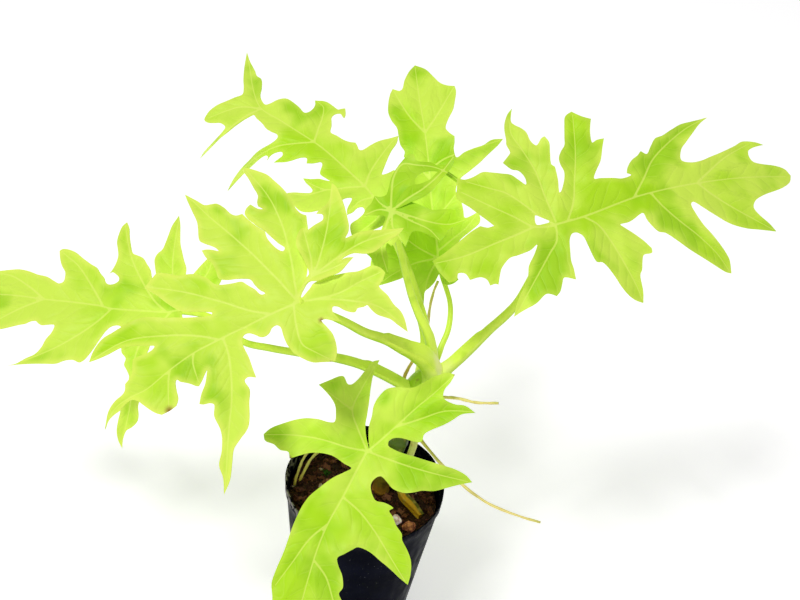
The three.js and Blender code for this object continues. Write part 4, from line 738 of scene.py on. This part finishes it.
def make_roots(material):
    for node, root in ROOTS.items():
        def knobbly(share, angle, phase=len(node)):
            return 0.1 * np.sin(37 * share + phase) + 0.06 * np.sin(3 * angle + 61 * share)

        obj = tube("thin_" + node, root["route"], root["radii"], 14, 70, (0.3, 0.5, 1), knobbly)
        finished(obj, material, "root", node)
    wisp = tube("root_wisp", WISP, [0.6, 0.7, 0.5], 10, 30)
    finished(wisp, material, "root")


def make_withered_stalk(material):
    """The old stalk: sound where it is pale, shrunk into folds where its end lies on the soil."""
    def folds(share, angle):
        dry = smooth_step(share, 0.55, 0.72)
        creases = 0.9 * np.cos(4 * angle + 5 * share) - 0.6 * np.cos(2 * angle)
        return dry * creases + 0.12 * np.cos(7 * angle)

    obj = tube("old_stalk", WITHERED_STALK["route"], WITHERED_STALK["radii"], 36, 110,
        (0.7, 0.65, 0.35), folds)
    finished(obj, material, "withered", "withered_stalk")


# The pot and what lies in it

def pot_sizes():
    """The pot's height, and its radius at the rim and at the foot, in mm."""
    low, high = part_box("nursery_pot")
    rim = (high.x - low.x) / 2 / MM - 0.5
    return high.z / MM, rim, rim * POT_TAPER


def make_pot(material):
    height, rim, foot = pot_sizes()
    slope = (rim - foot) / height
    lip = height - POT_LIP
    profile = [(foot - 0.6, 0.4), (foot, 1.5)]
    profile += [(foot + slope * z, z) for z in np.linspace(8, lip - 1.5, 22)]
    profile += [(rim - 0.1, lip), (rim + 0.4, lip + 0.8), (rim + 0.5, height - 3), (rim + 0.4, height)]
    bpy.ops.object.select_all(action="DESELECT")
    bpy.ops.mesh.primitive_circle_add(vertices=180, radius=(foot - 1.4) * MM, fill_type="NGON")
    pot = bpy.context.active_object
    pot.name = "black_nursery_pot"
    bpy.ops.object.mode_set(mode="EDIT")
    bpy.ops.mesh.select_mode(type="EDGE")
    bpy.ops.mesh.select_all(action="SELECT")
    bpy.ops.mesh.region_to_loop()
    last_radius, last_z = foot - 1.4, 0
    for radius, z in profile:
        bpy.ops.mesh.extrude_region_move(TRANSFORM_OT_translate={"value": (0, 0, (z - last_z) * MM)})
        share = radius / last_radius
        bpy.ops.transform.resize(value=(share, share, 1), center_override=(0, 0, 0))
        last_radius, last_z = radius, z
    bpy.ops.mesh.select_all(action="SELECT")
    bpy.ops.mesh.normals_make_consistent(inside=False)
    bpy.ops.object.mode_set(mode="OBJECT")
    place = coordinates(pot) / MM
    angle = np.arctan2(place[:, 1], place[:, 0])
    up = place[:, 2] / height
    radius = np.maximum(np.hypot(place[:, 0], place[:, 1]), 1e-6)
    wall = (radius > foot * 0.9) * smooth_step(up, 0.01, 0.2)
    creases = 0.28 * np.sin(13 * angle + 2.2 * up) * np.sin(5 * angle + 1) * up
    creases += 0.16 * np.sin(31 * angle - 3 * up) * np.sin(7 * angle + 4 * up)
    shift = 1 + wall * creases / radius
    place[:, :2] *= shift[:, None]
    place[:, 2] += (up > 0.99) * (0.35 * np.sin(9 * angle + 1) + 0.2 * np.sin(23 * angle))
    set_coordinates(pot, place * MM)
    apply_modifier(pot, "SOLIDIFY", thickness=POT_WALL * MM, offset=-1)
    drills = []
    for i in range(DRAIN_HOLES):
        turn = 2 * math.pi * i / DRAIN_HOLES
        place = (DRAIN_RING * MM * math.cos(turn), DRAIN_RING * MM * math.sin(turn), 0)
        bpy.ops.mesh.primitive_cylinder_add(vertices=24, radius=DRAIN_RADIUS * MM, depth=12 * MM,
            location=place)
        drills.append(bpy.context.active_object)
    drill = join("drain_drill", drills)
    apply_modifier(pot, "BOOLEAN", object=drill, operation="DIFFERENCE", solver="EXACT")
    bpy.data.objects.remove(drill)
    smooth(pot, 40)
    finished(pot, material, "pot", "nursery_pot")


def soil_height(x, y):
    """How high the potting mix stands, in mm."""
    spot = Vector((x * 0.06, y * 0.06, 3))
    return SOIL_TOP - 0.6 + 2.2 * noise.noise(spot) + 0.9 * noise.noise(spot * 3.1)


def bark_shape(seed):
    """A rough flake of bark about 1 across: corners and faces, to be copied."""
    bpy.ops.object.select_all(action="DESELECT")
    bpy.ops.mesh.primitive_cube_add(size=1)
    flake = bpy.context.active_object
    bpy.ops.object.mode_set(mode="EDIT")
    bpy.ops.mesh.subdivide(number_cuts=2)
    bpy.ops.object.mode_set(mode="OBJECT")
    place = coordinates(flake)
    for row in place:
        spot = Vector(row) * 2.3 + Vector((seed * 7.1, 0, 0))
        row *= 0.78 + 0.55 * noise.noise(spot) + 0.12 * (abs(row).max() - 0.5)
    faces = [tuple(p.vertices) for p in flake.data.polygons]
    bpy.data.objects.remove(flake)
    return place * (1, 0.72, 0.42), faces


def scattered(name, shapes, spots):
    """Copies of the shapes as one piece. A spot is a place, three turns, a size and a tint."""
    vertices, faces, tints = [], [], []
    for i, (place, turns, size, tint) in enumerate(spots):
        corners, sides = shapes[i % len(shapes)]
        turned = corners * size @ np.array(Matrix.Rotation(turns[0], 3, "X")
            @ Matrix.Rotation(turns[1], 3, "Y") @ Matrix.Rotation(turns[2], 3, "Z"))
        first = len(vertices)
        vertices += list(turned + place)
        faces += [[first + v for v in side] for side in sides]
        tints += [tint] * len(corners)
    obj = mesh_object(name, vertices, faces)
    store(obj, "tint", tints)
    smooth(obj, 35)
    return obj


def make_soil(material):
    """The mix's lumpy surface and body, and the bark flakes that cover it."""
    height, rim, foot = pot_sizes()
    rings, sides = 34, 120
    top = foot + (rim - foot) * SOIL_TOP / height - SOIL_TO_WALL
    floor = foot - SOIL_TO_WALL
    vertices, faces = [(0, 0, soil_height(0, 0))], []
    for i in range(1, rings + 1):
        for k in range(sides):
            turn = 2 * math.pi * k / sides
            x, y = (top * i / rings * f(turn) for f in (math.cos, math.sin))
            vertices.append((x, y, soil_height(x, y) - 1.2 * (i / rings) ** 6))
    for radius, z in ((floor, 3), (floor * 0.5, 3)):
        for k in range(sides):
            turn = 2 * math.pi * k / sides
            vertices.append((radius * math.cos(turn), radius * math.sin(turn), z))
    vertices.append((0, 0, 3))
    for k in range(sides):
        after = (k + 1) % sides
        faces.append((0, 1 + k, 1 + after))
        for i in range(rings + 1):
            a, b = 1 + i * sides + k, 1 + i * sides + after
            faces.append((b, a, a + sides, b + sides))
        faces.append((1 + (rings + 1) * sides + after, 1 + (rings + 1) * sides + k, len(vertices) - 1))
    body = mesh_object("mix_body", vertices, faces)
    store(body, "tint", [0.15] * len(vertices))
    smooth(body, 40)
    draw = random.Random(7)
    spots = []
    least, most = FLAKE_SIZES
    while len(spots) < FLAKES:
        turn = draw.uniform(0, 2 * math.pi)
        far = top * math.sqrt(draw.random()) * 0.985
        x, y = far * math.cos(turn), far * math.sin(turn)
        size = least + (most - least) * draw.random() ** 2.2
        tint = draw.random()
        turns = [draw.gauss(0, 0.5), draw.gauss(0, 0.5), draw.uniform(0, 6.3)]
        if any(math.hypot(x - cx, y - cy) < clear + size * 0.3 for cx, cy, clear in CLEAR_SPOTS):
            continue
        if far + size * 0.5 > top:
            continue
        spots.append(((x, y, soil_height(x, y) + 0.1 * size), turns, size, tint))
    x, y, size = WHITE_CHIP
    spots.append(((x, y, soil_height(x, y) + 1.5), [0.3, 0.2, 0.6], size, 1.0))
    flakes = scattered("bark_flakes", [bark_shape(s) for s in range(5)], spots)
    soil = join("potting_mix", [body, flakes])
    finished(soil, material, "potting_mix", "soil")


def make_chip(node, name, material, slot, seed):
    """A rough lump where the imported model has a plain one."""
    low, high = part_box(node)
    bpy.ops.object.select_all(action="DESELECT")
    bpy.ops.mesh.primitive_ico_sphere_add(subdivisions=5, radius=1)
    chip = bpy.context.active_object
    chip.name = name
    place = coordinates(chip)
    for row in place:
        spot = Vector(row) * 1.3 + Vector((seed, 0, 0))
        pits = noise.noise(spot * 5) * 0.05 + noise.noise(spot * 11) * 0.03
        row *= 0.93 + 0.26 * noise.noise(spot) + pits
    half = np.array((high - low) / 2)
    set_coordinates(chip, place * half + np.array((high + low) / 2))
    smooth(chip, 60)
    finished(chip, material, slot, node)


def make_moss(material):
    """A small cushion of moss at the stem's foot."""
    draw = random.Random(3)
    bpy.ops.object.select_all(action="DESELECT")
    bpy.ops.mesh.primitive_ico_sphere_add(subdivisions=1, radius=0.5)
    leaf = bpy.context.active_object
    shape = (coordinates(leaf) * (1, 0.5, 0.35), [tuple(p.vertices) for p in leaf.data.polygons])
    bpy.data.objects.remove(leaf)
    spots = []
    for cx, cy, spread, count in MOSS_CUSHIONS:
        for _ in range(count):
            x, y = draw.gauss(cx, spread * 0.5), draw.gauss(cy, spread * 0.5)
            turns = [draw.uniform(-1, 1), draw.uniform(-1, 1), draw.uniform(0, 6.3)]
            place = (x, y, soil_height(x, y) + draw.uniform(0.2, 2.4))
            spots.append((place, turns, draw.uniform(1, 2), draw.random()))
    finished(scattered("moss", [shape], spots), material, "blade")


# Materials

def new_material(name, roughness, specular):
    material = bpy.data.materials.new(name)
    material.use_nodes = True
    shader = material.node_tree.nodes["Principled BSDF"]
    shader.inputs["Roughness"].default_value = roughness
    shader.inputs["Specular IOR Level"].default_value = specular
    return material, material.node_tree, shader


def put(tree, kind, inputs=None, **settings):
    """Adds a node with its settings, and fills its inputs by name or number."""
    made = tree.nodes.new(kind)
    for key, value in settings.items():
        setattr(made, key, value)
    for key, value in (inputs or {}).items():
        if isinstance(value, bpy.types.NodeSocket):
            tree.links.new(value, made.inputs[key])
        else:
            made.inputs[key].default_value = value
    return made


def maths(tree, operation, a, b=0.0, clamp=False):
    return put(tree, "ShaderNodeMath", {0: a, 1: b}, operation=operation, use_clamp=clamp).outputs[0]


def ramp(tree, value, low, high, at_low=0.0, at_high=1.0):
    """A value that runs smoothly from at_low to at_high between low and high."""
    return put(tree, "ShaderNodeMapRange", {"Value": value, "From Min": low, "From Max": high,
        "To Min": at_low, "To Max": at_high}, interpolation_type="SMOOTHSTEP").outputs[0]


def mixed(tree, share, a, b):
    node = put(tree, "ShaderNodeMix", data_type="RGBA")
    for socket, value in ((0, share), (6, a), (7, b)):
        if isinstance(value, bpy.types.NodeSocket):
            tree.links.new(value, node.inputs[socket])
        else:
            node.inputs[socket].default_value = value if socket == 0 else (*value, 1)
    return node.outputs[2]


def kept(tree, name):
    return put(tree, "ShaderNodeAttribute", attribute_name=name).outputs["Fac"]


def clouds(tree, scale, detail=2.0, stretch=None):
    """Soft noise, scale given in patches to a metre."""
    place = put(tree, "ShaderNodeTexCoord").outputs["Object"]
    if stretch:
        place = put(tree, "ShaderNodeMapping", {"Vector": place, "Scale": stretch}).outputs[0]
    noisy = put(tree, "ShaderNodeTexNoise", {"Vector": place, "Scale": scale, "Detail": detail})
    return noisy.outputs["Fac"]


def bumped(tree, shader, height, distance, strength=1.0):
    bump = put(tree, "ShaderNodeBump", {"Strength": strength, "Distance": distance, "Height": height})
    tree.links.new(bump.outputs[0], shader.inputs["Normal"])


def vein_group():
    """Masks for a blade's ribs and side veins, and the height that it swells to between them."""
    group = bpy.data.node_groups.new("leaf veins", "ShaderNodeTree")
    for name, value in (("Spacing", 11.0), ("Slant", 1.1)):
        socket = group.interface.new_socket(name, in_out="INPUT", socket_type="NodeSocketFloat")
        socket.default_value = value
    for name in ("Rib", "Vein", "Swell"):
        group.interface.new_socket(name, in_out="OUTPUT", socket_type="NodeSocketFloat")
    given = group.nodes.new("NodeGroupInput")
    names = ("rib", "along", "taper", "meeting", "edge")
    rib, along, taper, meeting, edge = (kept(group, name) for name in names)
    thin = maths(group, "MULTIPLY", taper, 0.35)
    wide = maths(group, "ADD", maths(group, "MULTIPLY", taper, 1.0), 0.2)
    rib_mask = ramp(group, rib, thin, wide, 1.0, 0.0)
    wander = maths(group, "MULTIPLY", maths(group, "SUBTRACT", clouds(group, 45), 0.5), 16.0)
    start = maths(group, "SUBTRACT", along, maths(group, "MULTIPLY", rib, given.outputs["Slant"]))
    phase = maths(group, "DIVIDE", maths(group, "ADD", start, wander), given.outputs["Spacing"])
    centred = maths(group, "ABSOLUTE", maths(group, "SUBTRACT", maths(group, "FRACT", phase), 0.5))
    away = maths(group, "MULTIPLY", centred, given.outputs["Spacing"])
    fade = maths(group, "MULTIPLY", ramp(group, meeting, 0.5, 4.0), ramp(group, edge, 0.6, 3.0))
    vein_mask = maths(group, "MULTIPLY", ramp(group, away, 0.1, 0.9, 1.0, 0.0), fade)
    swell = maths(group, "MULTIPLY", ramp(group, away, 0.0, 3.4), maths(group, "MULTIPLY", fade,
        ramp(group, rib, 0.4, 3.0)))
    put(group, "NodeGroupOutput", {"Rib": rib_mask, "Vein": vein_mask, "Swell": swell})
    return group


VEINS = vein_group()

# Colours, as linear red, green and blue.
LIME = (0.45, 0.77, 0.018)
# Lighter and deeper lime: partly the blade's own tone, partly painted highlight and painted shade.
LIGHT_LIME_AND_HIGHLIGHT = (0.64, 0.87, 0.09)
DEEP_LIME_AND_SHADE = (0.33, 0.65, 0.008)
RIB_LIME = (0.78, 0.92, 0.17)
PALE_EDGE = (0.82, 0.92, 0.15)
SCORCHED = (0.24, 0.09, 0.02)
STALK_SHADED_BELOW = (0.26, 0.46, 0.008)
STALK_LIT_ABOVE = (0.64, 0.82, 0.085)
STALK_BASE = (0.66, 0.72, 0.17)
STALK_STREAK = (0.72, 0.86, 0.16)
STALK_BLOTCH = (0.34, 0.58, 0.015)
CREAM = (0.78, 0.76, 0.36)
STEM_FOOT = (0.50, 0.22, 0.03)
STEM_OLIVE = (0.09, 0.15, 0.01)
STEM_TOP = (0.46, 0.68, 0.04)
STEM_SPECK = (0.30, 0.26, 0.05)
STEM_SHADE = (0.03, 0.025, 0.006)
ROOT_BASE = (0.66, 0.46, 0.11)
ROOT_YELLOW = (0.88, 0.74, 0.26)
ROOT_TIP = (0.60, 0.60, 0.12)
ROOT_STREAK = (0.66, 0.50, 0.10)
DRY_GOLD = (0.80, 0.40, 0.02)
DRY_OLIVE = (0.16, 0.14, 0.02)
PALE_STALK = (0.60, 0.66, 0.16)
DRY_STREAK = (0.62, 0.46, 0.12)
BARK_DARK = (0.018, 0.006, 0.005)
BARK_BROWN = (0.12, 0.032, 0.022)
BARK_RED = (0.28, 0.10, 0.065)
BARK_PALE = (0.62, 0.46, 0.40)
BARK_FIBRE = (0.20, 0.07, 0.045)
PUMICE = (1.0, 0.86, 0.85)
PUMICE_PIT = (0.66, 0.42, 0.40)
CLAY = (0.80, 0.29, 0.15)
CLAY_PIT = (0.34, 0.10, 0.055)
MOSS_DARK = (0.008, 0.045, 0.006)
MOSS_LIGHT = (0.05, 0.13, 0.012)
POT_BLACK = (0.0012, 0.0017, 0.0062)
POT_NAVY = (0.0028, 0.0036, 0.0115)
DRIED_LIME = (0.56, 0.50, 0.48)
SPLASH = (0.12, 0.12, 0.13)
CROWN = (0.0439, 0.0025, 0.2748)  # where the stalks part, in metres


def leaf_material(name, tint, pale):
    """A lime blade: lighter and deeper patches, partly its own tone and partly painted highlight and shade,
    pale ribs, fine side veins, a pale margin, a painted highlight where it swells and a painted glow.
    """
    material, tree, shader = new_material(name, 0.45, 0.12)
    veins = put(tree, "ShaderNodeGroup", node_tree=VEINS)
    # The lighter and deeper patches are partly the blade's own tone and partly painted highlight and
    # painted shade.
    patches = clouds(tree, 18, 3)
    colour = mixed(tree, ramp(tree, patches, 0.26 + 0.3 * tint, 0.46 + 0.3 * tint), LIME, LIGHT_LIME_AND_HIGHLIGHT)
    deep_and_shaded = ramp(tree, clouds(tree, 24, 2), 0.6 - 0.3 * tint, 0.78 - 0.3 * tint, 0.0, 0.9)
    colour = mixed(tree, deep_and_shaded, colour, DEEP_LIME_AND_SHADE)
    # Painted highlight: the blade is coloured lighter where it swells between its side veins.
    colour = mixed(tree, maths(tree, "MULTIPLY", veins.outputs["Swell"], 0.12), colour, LIGHT_LIME_AND_HIGHLIGHT)
    edge = ramp(tree, kept(tree, "edge"), 0.2, 5.0, pale, 0.0)
    colour = mixed(tree, edge, colour, PALE_EDGE)
    colour = mixed(tree, maths(tree, "MULTIPLY", veins.outputs["Vein"], 0.16), colour, RIB_LIME)
    colour = mixed(tree, maths(tree, "MULTIPLY", veins.outputs["Rib"], 0.65), colour, RIB_LIME)
    colour = mixed(tree, kept(tree, "scorch"), colour, SCORCHED)
    tree.links.new(colour, shader.inputs["Base Color"])
    # Painted glow: the blade gives off a little of its own colour, to lighten its shaded parts.
    tree.links.new(colour, shader.inputs["Emission Color"])
    shader.inputs["Emission Strength"].default_value = 0.08
    grain = maths(tree, "MULTIPLY", clouds(tree, 900, 2), 0.12)
    veined = maths(tree, "MULTIPLY", veins.outputs["Vein"], -0.35)
    height = maths(tree, "ADD", maths(tree, "ADD", veins.outputs["Swell"], veined), grain)
    bumped(tree, shader, height, 0.0006, 0.4)
    return material


def stalk_material():
    """Smooth and yellow-green, with painted shade below and a painted highlight on the upper side, a cream
    patch where the stalks part, and a painted glow.
    """
    material, tree, shader = new_material("stalk_skin", 0.35, 0.2)
    # Painted light: lighter on the side the sheath opens to, which faces up, and darker below.
    colour = mixed(tree, ramp(tree, kept(tree, "around"), -0.7, 0.7), STALK_SHADED_BELOW, STALK_LIT_ABOVE)
    colour = mixed(tree, ramp(tree, kept(tree, "share"), 0.02, 0.3, 0.35, 0.0), colour, STALK_BASE)
    streaks = clouds(tree, 260, 3)
    colour = mixed(tree, ramp(tree, streaks, 0.5, 0.75, 0.0, 0.3), colour, STALK_STREAK)
    colour = mixed(tree, ramp(tree, clouds(tree, 60, 2), 0.55, 0.75, 0.0, 0.5), colour, STALK_BLOTCH)
    place = put(tree, "ShaderNodeTexCoord").outputs["Object"]
    away = put(tree, "ShaderNodeVectorMath", {0: place, 1: CROWN}, operation="DISTANCE").outputs["Value"]
    colour = mixed(tree, ramp(tree, away, 0.003, 0.013, 0.85, 0.0), colour, CREAM)
    tree.links.new(colour, shader.inputs["Base Color"])
    # Painted glow: the stalk gives off a little of its own colour, to lighten its shaded parts.
    tree.links.new(colour, shader.inputs["Emission Color"])
    shader.inputs["Emission Strength"].default_value = 0.18
    bumped(tree, shader, streaks, 0.0003, 0.5)
    return material


def stem_material():
    material, tree, shader = new_material("stem_skin", 0.5, 0.3)
    share = kept(tree, "share")
    colour = mixed(tree, ramp(tree, share, 0.08, 0.35), STEM_FOOT, STEM_OLIVE)
    colour = mixed(tree, ramp(tree, share, 0.5, 0.8), colour, STEM_TOP)
    specks = clouds(tree, 240, 4)
    colour = mixed(tree, ramp(tree, specks, 0.56, 0.7, 0.0, 0.6), colour, STEM_SPECK)
    colour = mixed(tree, ramp(tree, clouds(tree, 90, 3), 0.55, 0.75, 0.0, 0.5), colour, STEM_SHADE)
    tree.links.new(colour, shader.inputs["Base Color"])
    bumped(tree, shader, specks, 0.0006, 0.7)
    return material


def root_material():
    material, tree, shader = new_material("root_skin", 0.45, 0.3)
    share = kept(tree, "share")
    colour = mixed(tree, ramp(tree, share, 0.12, 0.4), ROOT_BASE, ROOT_YELLOW)
    colour = mixed(tree, ramp(tree, share, 0.9, 1.0, 0.0, 0.7), colour, ROOT_TIP)
    streaks = clouds(tree, 300, 3)
    colour = mixed(tree, ramp(tree, streaks, 0.5, 0.75, 0.0, 0.5), colour, ROOT_STREAK)
    tree.links.new(colour, shader.inputs["Base Color"])
    bumped(tree, shader, streaks, 0.0003, 0.6)
    return material


def withered_material():
    material, tree, shader = new_material("withered_skin", 0.6, 0.2)
    share = kept(tree, "share")
    dry = mixed(tree, ramp(tree, kept(tree, "around"), 0.1, 0.5), DRY_GOLD, DRY_OLIVE)
    colour = mixed(tree, ramp(tree, share, 0.5, 0.7), PALE_STALK, dry)
    streaks = clouds(tree, 200, 4)
    colour = mixed(tree, ramp(tree, streaks, 0.52, 0.68, 0.0, 0.6), colour, DRY_STREAK)
    tree.links.new(colour, shader.inputs["Base Color"])
    bumped(tree, shader, streaks, 0.0008, 0.8)
    return material


def soil_material():
    """Damp bark: each flake has its own brown, and a few are paler."""
    material, tree, shader = new_material("damp_bark", 0.75, 0.25)
    tint = kept(tree, "tint")
    colour = mixed(tree, ramp(tree, tint, 0.0, 0.6), BARK_DARK, BARK_BROWN)
    colour = mixed(tree, ramp(tree, tint, 0.7, 1.0), colour, BARK_RED)
    colour = mixed(tree, ramp(tree, tint, 0.97, 0.985), colour, BARK_PALE)
    fibres = clouds(tree, 500, 4)
    colour = mixed(tree, ramp(tree, fibres, 0.5, 0.7, 0.0, 0.5), colour, BARK_FIBRE)
    tree.links.new(colour, shader.inputs["Base Color"])
    bumped(tree, shader, fibres, 0.0008, 0.9)
    return material


def mineral_material(name, main, patch, painted_glow):
    material, tree, shader = new_material(name, 0.85, 0.25)
    pits = clouds(tree, 420, 4)
    colour = mixed(tree, ramp(tree, pits, 0.42, 0.62), patch, main)
    colour = mixed(tree, ramp(tree, clouds(tree, 150, 3), 0.5, 0.7, 0.0, 0.7), colour, patch)
    tree.links.new(colour, shader.inputs["Base Color"])
    # Painted glow: the chip gives off some of its own colour, to look lighter than its lighting makes it.
    tree.links.new(colour, shader.inputs["Emission Color"])
    shader.inputs["Emission Strength"].default_value = painted_glow
    bumped(tree, shader, pits, 0.0006, 0.9)
    return material


def moss_material():
    material, tree, shader = new_material("moss_leaf", 0.7, 0.2)
    colour = mixed(tree, kept(tree, "tint"), MOSS_DARK, MOSS_LIGHT)
    tree.links.new(colour, shader.inputs["Base Color"])
    return material


def pot_material():
    """Thin black plastic, with dried lime round the rim and a few splashes of mix."""
    material, tree, shader = new_material("black_plastic", 0.4, 0.01)
    height = pot_sizes()[0] * MM
    place = put(tree, "ShaderNodeTexCoord").outputs["Object"]
    parts = put(tree, "ShaderNodeSeparateXYZ", {0: place})
    colour = mixed(tree, ramp(tree, clouds(tree, 40, 3), 0.4, 0.7), POT_BLACK, POT_NAVY)
    at_rim = ramp(tree, parts.outputs[2], height - 0.015, height - 0.002)
    at_left = ramp(tree, parts.outputs[0], -0.02, -0.06)
    crust = maths(tree, "MULTIPLY", ramp(tree, clouds(tree, 260, 4), 0.47, 0.58), at_rim)
    crust = maths(tree, "MULTIPLY", crust, maths(tree, "ADD", maths(tree, "MULTIPLY", at_left, 0.45), 0.03))
    colour = mixed(tree, crust, colour, DRIED_LIME)
    specks = ramp(tree, clouds(tree, 620, 1), 0.74, 0.78, 0.0, 0.5)
    colour = mixed(tree, specks, colour, SPLASH)
    tree.links.new(colour, shader.inputs["Base Color"])
    rough = ramp(tree, clouds(tree, 90, 3), 0.3, 0.8, 0.28, 0.5)
    tree.links.new(rough, shader.inputs["Roughness"])
    bumped(tree, shader, clouds(tree, 180, 3), 0.0004, 0.4)
    return material


# Stage

def make_stage():
    scene = bpy.context.scene
    scene.view_settings.view_transform = "Standard"
    bpy.ops.object.select_all(action="DESELECT")
    bpy.ops.mesh.primitive_plane_add(size=12)
    floor = bpy.context.active_object
    floor.name = "pale_floor"
    material, tree, shader = new_material("pale_floor", 0.9, 0.0)
    shader.inputs["Base Color"].default_value = PALE_FLOOR
    shader.inputs["Emission Color"].default_value = (1, 1, 1, 1)
    shader.inputs["Emission Strength"].default_value = FLOOR_GLOW
    floor.data.materials.append(material)
    world = bpy.data.worlds.new("soft white room")
    world.use_nodes = True
    background = world.node_tree.nodes["Background"]
    background.inputs["Color"].default_value = (1, 1, 1, 1)
    background.inputs["Strength"].default_value = ROOM_LIGHT
    scene.world = world
    for name, (place, size, power) in LAMPS.items():
        bpy.ops.object.light_add(type="AREA", location=place)
        lamp = bpy.context.active_object
        lamp.name = name
        lamp.data.size = size
        lamp.data.energy = power
        lamp.rotation_euler = (Vector(LAMP_AIM) - Vector(place)).to_track_quat("-Z", "Y").to_euler()
    camera = bpy.data.objects.new("camera", bpy.data.cameras.new("camera"))
    scene.collection.objects.link(camera)
    camera.location = Vector(CAMERA_PLACE) * MM
    tilt = Matrix.Rotation(math.radians(90 - CAMERA_PITCH), 4, "X")
    roll = Matrix.Rotation(math.radians(CAMERA_ROLL), 4, "Z")
    camera.rotation_euler = (tilt @ roll).to_euler()
    camera.data.lens = CAMERA_LENS
    scene.camera = camera


def main():
    make_stage()
    for node, leaf in LEAVES.items():
        make_blade(node, leaf)
    stalk_skin = stalk_material()
    for node, stalk in STALKS.items():
        make_stalk(node, stalk, stalk_skin)
    make_stem(stem_material())
    make_roots(root_material())
    make_withered_stalk(withered_material())
    make_pot(pot_material())
    make_soil(soil_material())
    # The last number is each chip's painted glow.
    pumice = mineral_material("pumice", PUMICE, PUMICE_PIT, 0.25)
    make_chip("pumice_chip", "pumice", pumice, "pumice", 2)
    fired_clay = mineral_material("fired_clay", CLAY, CLAY_PIT, 0.08)
    make_chip("clay_chip", "fired_clay", fired_clay, "fired_clay", 5)
    make_moss(moss_material())
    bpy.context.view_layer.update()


main()
